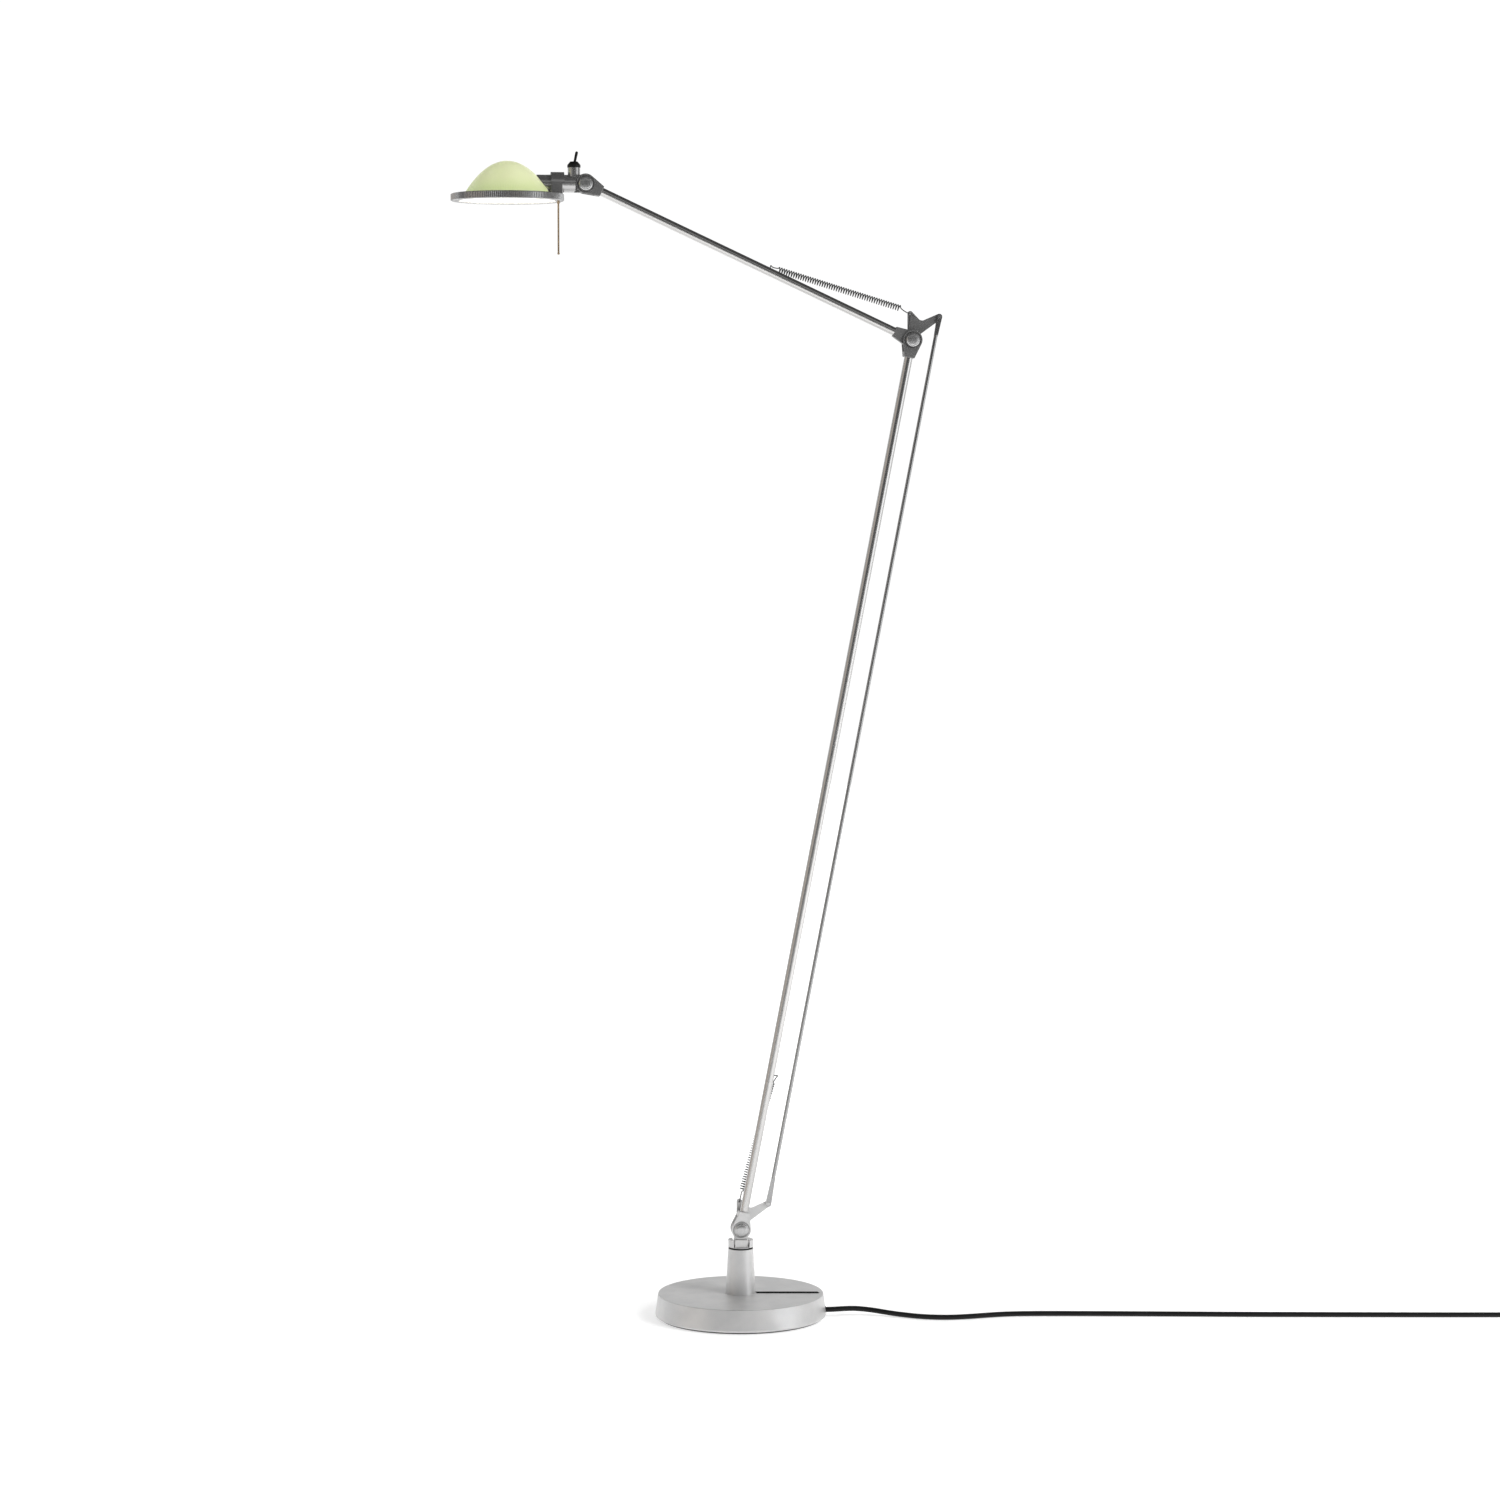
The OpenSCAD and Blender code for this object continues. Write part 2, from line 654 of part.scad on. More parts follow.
module swivel_spindle() color([0.6, 0.6, 0.62]) {
    z0 = base_h + 8.5;
    difference() {
        translate([0, 0, z0]) cylinder(d = spindle_d, h = collar_z - z0);
        translate([0, 0, z0 - cut]) cylinder(r = stem_bore_r, h = collar_z - z0 + 2 * cut);
        // groove for the clip
        difference() {
            translate([0, 0, clip_z]) cylinder(d = spindle_d + 2 * cut, h = clip_t + 0.1);
            translate([0, 0, clip_z - cut / 2]) cylinder(d = clip_groove_d, h = clip_t + cut);
        }
    }
}

module spindle_clip() color([0.35, 0.35, 0.37]) {
    difference() {
        translate([0, 0, clip_z + 0.05]) cylinder(d = spindle_d + 4, h = clip_t);
        translate([0, 0, clip_z - cut])
            cylinder(d = clip_groove_d + 2 * seat_fit, h = clip_t + 2 * cut);
        translate([0, -2, clip_z - cut]) cube([spindle_d, 4, clip_t + 2 * cut]);
    }
}

module swivel_collar() color([0.62, 0.62, 0.63]) {
    difference() {
        union() {
            translate([0, 0, collar_z]) cylinder(d = post_top_d - 4.6, h = neck_h);
            translate([0, 0, stem_base_z]) difference() {
                cylinder(d = post_top_d - 0.2, h = lug_h);
                translate([-lug_slot_w / 2, -post_top_d, -cut])
                    cube([lug_slot_w, 2 * post_top_d, lug_h + 2 * cut]);
            }
        }
        translate([0, 0, collar_z - cut]) cylinder(r = stem_bore_r, h = neck_h + 2 * cut);
        for (y = [-collar_bolt_y, collar_bolt_y]) translate([0, y, collar_z - cut])
            cylinder(d = collar_bolt_d + 2 * seat_fit, h = neck_h + 2 * cut);
    }
}

module foot_knuckle() color([0.66, 0.66, 0.67]) {
    difference() {
        union() {
            translate([-stem_w / 2, -stem_front, stem_base_z])
                cube([stem_w, stem_front + plate_y0, stem_shoulder_z - stem_base_z]);
            translate([-stem_w / 2, -knuckle_y, stem_base_z])
                cube([stem_w, knuckle_t, pivot_z - stem_base_z - 6]);
            translate(foot_p) y_rod(knuckle_r, -knuckle_y, knuckle_y);
        }
        translate(foot_p) y_rod(axle_bore_r, -stem_front, stem_front);
        for (y = [-collar_bolt_y, collar_bolt_y]) translate([0, y, stem_base_z - cut])
            cylinder(d = collar_bolt_d + 2 * seat_fit, h = 6 + cut);
        for (x = [-plate_bolt_x, plate_bolt_x]) translate([x, 0, plate_bolt_z])
            y_rod(plate_bolt_d / 2 + seat_fit, plate_y0 - 6, plate_y1);
    }
}

module collar_screws() color([0.3, 0.3, 0.32]) {
    for (y = [-collar_bolt_y, collar_bolt_y]) translate([0, y, collar_z + 0.2])
        cylinder(d = collar_bolt_d, h = neck_h + 5);
}

module base_plate() color([0.62, 0.62, 0.63]) {
    difference() {
        union() {
            translate(foot_p) crank_plate(run_fit);
            translate([-5.5, plate_y0, stem_base_z])
                cube([11, plate_t, pivot_z - stem_base_z - 8]);
        }
        for (x = [-plate_bolt_x, plate_bolt_x]) translate([x, 0, plate_bolt_z])
            y_rod(plate_bolt_d / 2 + seat_fit, plate_y0 - cut, plate_y1 + cut);
    }
}

module plate_screws() color([0.3, 0.3, 0.32]) {
    for (x = [-plate_bolt_x, plate_bolt_x]) translate([x, 0, plate_bolt_z]) {
        y_rod(plate_bolt_d / 2, plate_y0 - 5, plate_y1);
        y_rod(0.92 * plate_bolt_d, plate_y1, plate_y1 + 1.6);
    }
}

module foot_fork() color([0.62, 0.62, 0.63]) on_lower() fork();

module foot_axle() color([0.55, 0.55, 0.57]) translate(foot_p) axle(plate_y1 + axle_tail);

module foot_cap() color([0.75, 0.75, 0.76]) translate(foot_p) cap();

module foot_nut() color([0.5, 0.5, 0.52]) translate(foot_p) nut(plate_y1 + face_gap);

module lower_tube() color([0.76, 0.76, 0.78]) on_lower()
    arm_tube(fork_reach, lower_arm_len - fork_reach);

module lower_lead() color([0.05, 0.05, 0.05]) on_lower()
    arm_lead(crown_z, lower_arm_len - crown_z);

// The same fork turned end for end, its ring groove still at the front
module far_fork() {
    rotate([0, 180, 0]) rotate([0, 0, 180]) mirror([0, 1, 0]) fork();
}

module elbow_fork() color([0.36, 0.36, 0.37])
    translate(elbow_p) rotate([0, lower_tilt, 0]) far_fork();

module elbow_axle() color([0.55, 0.55, 0.57]) translate(elbow_p) axle(plate_y1 + axle_tail);

module elbow_cap() color([0.75, 0.75, 0.76]) translate(elbow_p) cap();

module elbow_nut() color([0.5, 0.5, 0.52]) translate(elbow_p) nut(plate_y1 + face_gap);

module lower_spring() color([0.45, 0.45, 0.46]) on_lower()
    arm_spring(lower_tilt, [0, 1], 4.4);

module elbow_plate() color([0.36, 0.36, 0.37]) translate(elbow_p) crank_plate(loop_play);

rod_foot_p = foot_p + [rod_horn_x, 0, rod_horn_z];

module on_rod() {
    translate(rod_foot_p) rotate([0, lower_tilt, 0]) children();
}

module parallel_rod() color([0.6, 0.6, 0.61]) on_rod() {
    foot_tab = 35;
    elbow_tab = 25;
    difference() {
        union() {
            along_y(tab_y0, tab_y1) eye_outline(rod_tip_r, rod_d, foot_tab);
            translate([0, 0, lower_arm_len]) rotate([0, 180, 0])
                along_y(tab_y0, tab_y1) eye_outline(rod_tip_r - 0.3, rod_d, elbow_tab);
            translate([0, rod_y, foot_tab - 2])
                cylinder(d = rod_d, h = lower_arm_len - foot_tab - elbow_tab + 4);
        }
        for (z = [0, lower_arm_len]) translate([0, 0, z])
            y_rod(rivet_d / 2 + seat_fit, tab_y0 - cut, tab_y1 + cut);
    }
}

module rod_rivets() color([0.5, 0.5, 0.52]) on_rod() {
    for (z = [0, lower_arm_len]) translate([0, 0, z]) {
        y_rod(rivet_d / 2, tab_y0 - 0.2, plate_y1 + face_gap + 0.2);
        y_rod(rivet_d / 2 + 0.8, tab_y0 - 0.8, tab_y0);
        y_rod(rivet_d / 2 + 0.9, plate_y1 + face_gap, plate_y1 + face_gap + 0.8);
    }
}

module elbow_knuckle() color([0.36, 0.36, 0.37]) on_upper() knuckle(knuckle_reach);

module upper_tube() color([0.72, 0.72, 0.73]) on_upper()
    arm_tube(knuckle_reach, upper_arm_len - fork_reach);

module upper_lead() color([0.05, 0.05, 0.05]) on_upper()
    arm_lead(crown_z, upper_arm_len - crown_z);

module head_fork() color([0.36, 0.36, 0.37])
    translate(head_p) rotate([0, upper_tilt, 0]) far_fork();

module head_axle() color([0.55, 0.55, 0.57]) translate(head_p) axle(ear_y1 + nut_h);

module head_cap() color([0.75, 0.75, 0.76]) translate(head_p) cap();

module head_nut() color([0.5, 0.5, 0.52]) translate(head_p) nut(ear_y1);

module upper_spring() color([0.45, 0.45, 0.46]) on_upper()
    arm_spring(upper_tilt, [2.5, 1.2], 2.8);

module head_knuckle() color([0.4, 0.4, 0.41]) on_head() {
    difference() {
        union() {
            y_rod(knuckle_r - 0.1, -knuckle_y, knuckle_y);
            translate([-body_x0 - 1, -knuckle_y, -head_tube_r])
                cube([body_x0 + 1, knuckle_t, head_tube_d]);
            x_rod(head_tube_r, -body_x1, -body_x0);
            x_rod(head_bore_r - seat_fit, -body_x1 - 8, -body_x0);
            // switch boss, cut clear of the ears
            translate([-switch_x, 0, head_tube_r]) cylinder(d = boss_d, h = boss_h - head_tube_r);
            intersection() {
                translate([-switch_x, 0, 0]) cylinder(d = boss_d, h = boss_h);
                translate([-body_x1, -head_tube_r, 0]) cube([body_x1 - body_x0, head_tube_d, boss_h]);
            }
        }
        y_rod(axle_bore_r, -ear_y1, ear_y1);
        translate([-switch_x, 0, 0.5]) cylinder(d = switch_bore_d, h = boss_h);
        // way for the wires from the switch to the head tube
        x_rod(3, -body_x1 - 9, -switch_x);
    }
}

module head_tube() color([0.42, 0.42, 0.43]) on_head() difference() {
    x_rod(head_tube_r, -head_tube_x1, -body_x1);
    x_rod(head_bore_r, -head_tube_x1 - cut, -body_x1 + cut);
}

module lampholder() color([0.92, 0.9, 0.86]) on_head() difference() {
    union() {
        x_rod(head_bore_r - seat_fit, -head_tube_x1, -head_tube_x1 + 12);
        x_rod(7.5, -head_tube_x1 - 7, -head_tube_x1);
    }
    for (y = [-pin_gap, pin_gap]) translate([0, y, 0])
        x_rod(0.7, -head_tube_x1 - 8, -head_tube_x1 + 4);
}

module bulb() color([0.97, 0.96, 0.88]) on_head() {
    bulb_r = 6.5;
    x0 = -head_tube_x1 - 7;
    for (y = [-pin_gap, pin_gap]) translate([0, y, 0]) x_rod(0.6, x0 - 1, x0 + 6);
    x_rod(5, x0 - 8, x0);
    x_rod(bulb_r, x0 - 34, x0 - 8);
    translate([x0 - 34, 0, 0]) sphere(r = bulb_r);
}

module switch_body() color([0.15, 0.15, 0.16]) on_head() translate([-switch_x, 0, 0]) {
    difference() {
        translate([0, 0, 1]) cylinder(d = switch_bore_d - 2 * seat_fit, h = boss_h + 5.5);
        translate([0, 0, lever_z - lever_ball_r - 0.6]) cylinder(r = lever_ball_r + 0.3, h = 8);
        translate([0, 0, boss_h + 4]) cylinder(r1 = lever_ball_r + 0.3, r2 = 4.2, h = 3);
    }
}

module switch_nut() color([0.04, 0.04, 0.04]) on_head() translate([-switch_x, 0, boss_h]) {
    r = switch_bore_d / 2;
    rotate_extrude() polygon([[r, 0], [r + 3.5, 0], [r + 3.5, 3.2], [r + 2.7, 4.2], [r + 0.7, 6.6],
        [r, 7.4]]);
}

module switch_lever() color([0.02, 0.02, 0.02]) on_head()
    translate([-switch_x, 0, lever_z]) rotate([0, lever_lean, 0]) {
        tip_r = 1.8;
        sphere(r = lever_ball_r);
        // trunnion that the lever rocks on
        y_rod(0.8, -lever_ball_r - 0.1, lever_ball_r + 0.1);
        cylinder(r1 = 1.5, r2 = tip_r, h = lever_len - tip_r);
        translate([0, 0, lever_len - tip_r]) sphere(r = tip_r);
    }

// Outline of the rim's fluted band: a shallow V between each two flutes, none by the bracket
module flute_outline() {
    depth = 0.6;
    plain = 12;
    polygon([for (i = [0 : rim_flutes - 1], s = [[0, 0], [0.45, 0], [0.72, depth]])
        let (a = (i + s[0]) * 360 / rim_flutes, dip = min(a, 360 - a) < plain ? 0 : s[1])
        (rim_r - dip) * [cos(a), sin(a)]]);
}

module rim() color([0.3, 0.3, 0.31]) at_head_centre() {
    wall = 2.6;
    edge = 0.7;
    difference() {
        union() {
            translate([0, 0, rim_bot_z + edge]) linear_extrude(rim_h - 2 * edge) flute_outline();
            translate([0, 0, rim_bot_z]) cylinder(r1 = rim_r - 1.5, r2 = rim_r - 0.8, h = edge + 0.01);
            translate([0, 0, rim_top_z - edge - 0.01])
                cylinder(r1 = rim_r - 0.8, r2 = rim_r - 1.5, h = edge + 0.01);
        }
        translate([0, 0, rim_bot_z - cut]) cylinder(r = opening_r, h = lip_t + 2 * cut);
        translate([0, 0, rim_bot_z + lip_t])
            cylinder(r = rim_r - wall, h = rim_h - lip_t - flange_t);
        translate([0, 0, rim_top_z - flange_t - cut])
            cylinder(r = flange_r, h = flange_t + 2 * cut);
        for (y = [-bracket_hole_y, bracket_hole_y])
            translate([bracket_hole_x, y, rim_top_z - flange_t - cut])
                cylinder(d = rim_bolt_d + 2 * seat_fit, h = flange_t + 2 * cut);
        translate([handle_r, 0, rim_bot_z - cut])
            cylinder(d = handle_d + 2 * seat_fit, h = lip_t + 2 * cut);
    }
}

module rim_bracket() color([0.42, 0.42, 0.43]) at_head_centre() difference() {
    intersection() {
        union() {
            x_rod(bracket_r, rim_r - bracket_len, rim_r);
            translate([rim_r - bracket_len, -bracket_r, rim_top_z])
                cube([bracket_len, 2 * bracket_r, -rim_top_z]);
        }
        translate([0, -2 * bracket_r, rim_top_z]) cube([rim_d, 4 * bracket_r, 4 * bracket_r]);
    }
    x_rod(head_tube_r + run_fit, 0, rim_d);
    for (y = [-bracket_hole_y, bracket_hole_y]) translate([bracket_hole_x, y, rim_top_z - cut])
        cylinder(d = rim_bolt_d + 2 * seat_fit, h = 7 + cut);
    // corners outside the round rim
    difference() {
        translate([0, -2 * bracket_r, 2 * rim_top_z]) cube([rim_d, 4 * bracket_r, -2 * rim_top_z]);
        translate([0, 0, 2 * rim_top_z - cut]) cylinder(r = rim_r - 1.4, h = -4 * rim_top_z);
    }
}

module bracket_screws() color([0.3, 0.3, 0.32]) at_head_centre() {
    head_h = 1.6;
    for (y = [-bracket_hole_y, bracket_hole_y])
        translate([bracket_hole_x, y, rim_top_z - flange_t]) {
            cylinder(d = rim_bolt_d, h = flange_t + 6);
            translate([0, 0, -head_h]) cylinder(d = rim_bolt_d + 2, h = head_h);
        }
}

module dome() color([0.82, 0.88, 0.66]) at_head_centre() difference() {
    steps = 14;
    notch_r = head_tube_r + 0.6;
    // outer face from the top down to the foot, then the inner face back up
    translate([0, 0, rim_top_z]) rotate_extrude() polygon(concat(
        [for (i = [0 : steps]) let (t = pow(i / steps, 2))
            [dome_foot_r * dome_share(t), dome_h * (1 - t)]],
        [for (i = [steps : -1 : 0]) let (t = pow(i / steps, 2))
            [(dome_foot_r - dome_wall) * dome_share(t), (dome_h - dome_wall) * (1 - t)]]));
    // notch for the head tube
    x_rod(notch_r, 10, rim_d);
    translate([20, -notch_r, rim_top_z - cut]) cube([rim_r, 2 * notch_r, cut - rim_top_z]);
}

module diffuser() color([0.95, 0.95, 0.93]) at_head_centre()
    translate([0, 0, rim_bot_z + lip_t]) cylinder(r = opening_r + 4.2, h = diffuser_t);

// Three spring clips under the rim's flange, each with a leg that stands up inside the dome
module glass_clips() color([0.6, 0.6, 0.62]) at_head_centre() {
    clip_w = 8;
    around(3, flange_r - 4, 60) translate([0, -clip_w / 2, rim_top_z - flange_t - 1]) {
        cube([12, clip_w, 1]);
        cube([0.9, clip_w, 5]);
    }
}

module handle() color([0.55, 0.5, 0.42]) at_head_centre() translate([handle_r, 0, rim_bot_z]) {
    translate([0, 0, -handle_len]) cylinder(d = handle_d, h = handle_len + lip_t);
    translate([0, 0, -2.6]) cylinder(d1 = handle_d + 0.6, d2 = handle_d + 1.8, h = 2.6);
    translate([0, 0, -handle_len]) sphere(d = handle_d + 0.8);
}

// Tube swept along a route, one ring of points for each point of the route
module swept(pts, d) {
    n = len(pts);
    m = cord_sides;
    rings = [for (i = [0 : n - 1], k = [0 : m - 1])
        let (h = heading(pts, i), side = unit(cross([0, 0, 1], h)), up = cross(h, side),
             a = (k + 0.5) * 360 / m)
        pts[i] + d / 2 * (cos(a) * side + sin(a) * up)];
    polyhedron(rings, concat(
        [[for (k = [0 : m - 1]) k]],
        [for (i = [0 : n - 2], k = [0 : m - 1])
            let (k2 = (k + 1) % m) [i * m + k, (i + 1) * m + k, (i + 1) * m + k2, i * m + k2]],
        [[for (k = [m - 1 : -1 : 0]) (n - 1) * m + k]]));
}

module cord_run() color([0.03, 0.03, 0.03]) rotate([0, 0, exit_turn])
    swept(smooth_route(cord_route, 2), cord_d);

module cord_coil() color([0.03, 0.03, 0.03]) rotate([0, 0, exit_turn])
    translate([coil_c.x, coil_c.y, 0]) rotate_extrude() {
        half = cord_d * coil_rows / 2;
        translate([coil_mid_r - half, 0]) square([2 * half, cord_d * coil_layers]);
    }

module cord_tail() color([0.03, 0.03, 0.03]) rotate([0, 0, exit_turn])
    swept(smooth_route(tail_route, 1), cord_d);

module plug() color([0.05, 0.05, 0.05]) rotate([0, 0, exit_turn])
    translate(tail_route[len(tail_route) - 1]) rotate([0, 0, plug_turn]) {
        rotate([0, 90, 0]) cylinder(d1 = cord_d + 0.6, d2 = cord_d + 4, h = boot_len);
        translate([boot_len - 0.5, 0, -plug_t / 2]) linear_extrude(plug_t) polygon([
            [0, -plug_w / 4], [8, -plug_w / 2], [plug_len - 6, -plug_w / 2], [plug_len, -plug_w / 2 + 4],
            [plug_len, plug_w / 2 - 4], [plug_len - 6, plug_w / 2], [8, plug_w / 2], [0, plug_w / 4]]);
        for (y = [-pin_y, pin_y]) translate([boot_len + plug_len, y, 0]) x_rod(2, -4, pin_len);
    }

foot_pad();
bottom_plate();
bottom_screws();
base_weight();
base_shell();
post();
post_ring();
post_screws();
upper_bush();
lower_bush();
base_lead();
terminal_block();
cord_gland();
swivel_spindle();
spindle_clip();
swivel_collar();
foot_knuckle();
collar_screws();
base_plate();
plate_screws();
foot_fork();
foot_axle();
foot_cap();
foot_nut();
lower_tube();
lower_lead();
elbow_fork();
elbow_axle();
elbow_cap();
elbow_nut();
lower_spring();
elbow_plate();
parallel_rod();
rod_rivets();
elbow_knuckle();
upper_tube();
upper_lead();
head_fork();
head_axle();
head_cap();
head_nut();
upper_spring();
head_knuckle();
head_tube();
lampholder();
bulb();
switch_body();
switch_nut();
switch_lever();
rim();
rim_bracket();
bracket_screws();
dome();
diffuser();
glass_clips();
handle();
cord_run();
cord_coil();
cord_tail();
plug();
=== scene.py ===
import json
import math

import bmesh
import bpy
from mathutils import Matrix, Vector


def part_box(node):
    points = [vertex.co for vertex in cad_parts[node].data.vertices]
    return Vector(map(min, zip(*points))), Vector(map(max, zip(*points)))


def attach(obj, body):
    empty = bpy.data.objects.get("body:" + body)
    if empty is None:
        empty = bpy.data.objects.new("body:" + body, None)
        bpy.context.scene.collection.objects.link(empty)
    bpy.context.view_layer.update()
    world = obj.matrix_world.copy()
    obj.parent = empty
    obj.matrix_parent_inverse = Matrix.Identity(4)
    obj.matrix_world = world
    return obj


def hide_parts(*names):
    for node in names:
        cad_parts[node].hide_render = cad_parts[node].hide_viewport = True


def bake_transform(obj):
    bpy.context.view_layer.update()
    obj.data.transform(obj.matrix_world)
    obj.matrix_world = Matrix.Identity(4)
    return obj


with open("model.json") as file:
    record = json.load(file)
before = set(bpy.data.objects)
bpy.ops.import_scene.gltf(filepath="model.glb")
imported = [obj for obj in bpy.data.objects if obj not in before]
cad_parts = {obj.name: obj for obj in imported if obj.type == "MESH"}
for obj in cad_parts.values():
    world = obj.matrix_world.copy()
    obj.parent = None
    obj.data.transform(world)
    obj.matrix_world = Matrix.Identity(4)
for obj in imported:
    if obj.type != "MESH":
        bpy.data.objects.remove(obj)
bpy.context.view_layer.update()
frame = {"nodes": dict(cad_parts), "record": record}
nodes = frame["nodes"]


def jointPlace(name):
    return Vector(next(j["pos_m"] for j in frame["record"]["behaviour"]["joints"] if j["name"] == name))


def halfWidth(node, axis=1):
    low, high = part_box(node)
    return (high[axis] - low[axis]) / 2


def middle(node, axis):
    low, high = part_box(node)
    return (high[axis] + low[axis]) / 2


footPivot = jointPlace("lower_arm_tilt")
elbowPivot = jointPlace("upper_arm_tilt")
headPivot = jointPlace("head_tilt")
headCentre = jointPlace("head_roll")
lowerDirection = (elbowPivot - footPivot).normalized()
upperDirection = (headPivot - elbowPivot).normalized()
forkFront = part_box("foot_fork")[0][1]      # front face of every fork
exitTurn = math.radians(-6.5)              # the cord leaves at this turn about the base

cameraSettings = {
    "place": (-0.5464, -4.8996, 1.0862),
    "down": 4.27,                          # degrees below level
    "toTheRight": 6.5,                     # degrees from +Y towards +X
    "lens": 94.8,
}


def makeCamera():
    data = bpy.data.cameras.new("camera")
    data.lens = cameraSettings["lens"]
    data.sensor_width = 36
    data.clip_end = 60
    camera = bpy.data.objects.new("camera", data)
    camera.location = cameraSettings["place"]
    camera.rotation_euler = (
        math.radians(90 - cameraSettings["down"]), 0, math.radians(-cameraSettings["toTheRight"]))
    bpy.context.collection.objects.link(camera)
    bpy.context.scene.camera = camera


makeCamera()
print("camera placed")


class Wire:                        # a socket that can stand in an expression
    def __init__(self, finish, socket):
        self.finish = finish
        self.socket = socket

    def maths(self, operation, a, b=0.0):
        return self.finish.node("ShaderNodeMath", {"operation": operation}, {0: a, 1: b})

    def __add__(self, other):
        return self.maths("ADD", self, other)

    def __radd__(self, other):
        return self.maths("ADD", other, self)

    def __sub__(self, other):
        return self.maths("SUBTRACT", self, other)

    def __rsub__(self, other):
        return self.maths("SUBTRACT", other, self)

    def __mul__(self, other):
        return self.maths("MULTIPLY", self, other)

    def __rmul__(self, other):
        return self.maths("MULTIPLY", other, self)

    def sine(self):
        return self.maths("SINE", self)

    def angleFrom(self, other):    # of a point whose x is other and whose y is this
        return self.maths("ARCTAN2", self, other)

    def above(self, low, high):    # 0 under low, 1 over high, smooth between
        return self.finish.node("ShaderNodeMapRange", {"interpolation_type": "SMOOTHSTEP"}, {
            "Value": self, "From Min": low, "From Max": high, "To Min": 0.0, "To Max": 1.0})


class Finish:                      # one material, built up from nodes
    def __init__(self, name, **uniform):
        self.material = bpy.data.materials.new(name)
        self.material.use_nodes = True
        self.tree = self.material.node_tree
        self.shader = self.tree.nodes["Principled BSDF"]
        for socket, value in uniform.items():
            self.shader.inputs[socket.replace("_", " ")].default_value = value

    def node(self, kind, settings=None, inputs=None, output=0):
        made = self.tree.nodes.new(kind)
        for key, value in (settings or {}).items():
            if key == "stops":
                self.setStops(made.color_ramp, value)
            else:
                setattr(made, key, value)
        for key, value in (inputs or {}).items():
            self.feed(made.inputs[key], value)
        return Wire(self, made.outputs[output])

    def setStops(self, ramp, stops):
        while len(ramp.elements) < len(stops):
            ramp.elements.new(0.5)
        for element, (place, colour) in zip(ramp.elements, stops):
            element.position = place
            element.color = colour

    def feed(self, socket, value):
        if isinstance(value, Wire):
            self.tree.links.new(value.socket, socket)
        else:
            socket.default_value = value

    def set(self, socket, value):
        self.feed(self.shader.inputs[socket], value)

    def place(self, axis=None, centre=None):
        # object coordinates, turned so that Z runs along axis, counted from centre
        at = self.node("ShaderNodeTexCoord", output=3)
        if centre is not None:
            at = self.node("ShaderNodeVectorMath", {"operation": "SUBTRACT"}, {0: at, 1: centre})
        if axis is None:
            return at
        turn = Vector(axis).rotation_difference(Vector((0, 0, 1))).to_euler()
        return self.node("ShaderNodeMapping", None, {"Vector": at, "Rotation": turn})

    def stretched(self, at, scale):
        return self.node("ShaderNodeVectorMath", {"operation": "MULTIPLY"}, {0: at, 1: scale})

    def noise(self, at, scale, detail=3.0, rough=0.5):
        return self.node("ShaderNodeTexNoise", None, {
            "Vector": at, "Scale": scale, "Detail": detail, "Roughness": rough})

    def parts(self, at, which):    # x, y or z of a vector
        return self.node("ShaderNodeSeparateXYZ", None, {0: at}, "xyz".index(which))

    def blendColours(self, factor, a, b):
        return self.node("ShaderNodeMix", {"data_type": "RGBA"}, {0: factor, 6: a, 7: b}, 2)

    def bump(self, height, distance, strength=0.5):
        self.set("Normal", self.node("ShaderNodeBump", None, {
            "Height": height, "Distance": distance, "Strength": strength}))


def grey(level, warm=0.0):
    return (level * (1 + warm), level, level * (1 - warm), 1)


def dress(piece, finish):
    piece.data.materials.clear()
    piece.data.materials.append(finish.material)


def dressNodes(finish, *names):
    for name in names:
        node = nodes[name]
        for place in node.material_slots:
            place.material = finish.material


paintSettings = {
    "silver": 0.61,
    "silverMetal": 0.64,
    # painted shade: the next four values make darker copies of the silver paint, standing in for the
    # shade on the upper joints and the head
    "silverInPaintedShade": 0.195,
    "silverInPaintedShadeMetal": 0.7,
    "headPaintedShadeLevel": 0.44,
    "headMetalPaintedShade": 0.94,
    "flakeScale": 2600,
    "cloudScale": 34,
    "wearScale": 260,
    "grain": 0.00002,                      # height of the grain
}


def paintFinish(name, level, metallic, rough, coat=0.0):
    # metallic lacquer: fine flakes, soft clouds and a little wear
    finish = Finish(name, Metallic=metallic, Coat_Roughness=0.25)
    at = finish.place()
    flake = finish.noise(at, paintSettings["flakeScale"], 2)
    cloud = finish.noise(at, paintSettings["cloudScale"], 3)
    wear = finish.noise(at, paintSettings["wearScale"], 4, 0.6)
    tone = finish.blendColours(cloud.above(0.3, 0.7), grey(level * 0.94), grey(level * 1.05, 0.006))
    tone = finish.blendColours(flake.above(0.6, 0.8) * 0.4, tone, grey(min(1, level * 1.7)))
    finish.set("Base Color", tone)
    finish.set("Roughness", rough + 0.08 * (wear - 0.5) + 0.05 * (cloud - 0.5))
    finish.set("Coat Weight", coat)
    finish.bump(flake + 0.6 * wear, paintSettings["grain"], 0.5)
    return finish


metalSettings = {
    "tube": 0.55,
    "rod": 0.36,
    "spring": 0.07,
    "cap": 0.5,
    "zinc": 0.5,
    "handle": 0.2,
    "screw": 0.06,
    "streakScale": (420, 420, 4),          # across, across, along
    "markScale": 140,
    "ringsPerMetre": 9000,                 # lathe rings on the caps, in radians
}


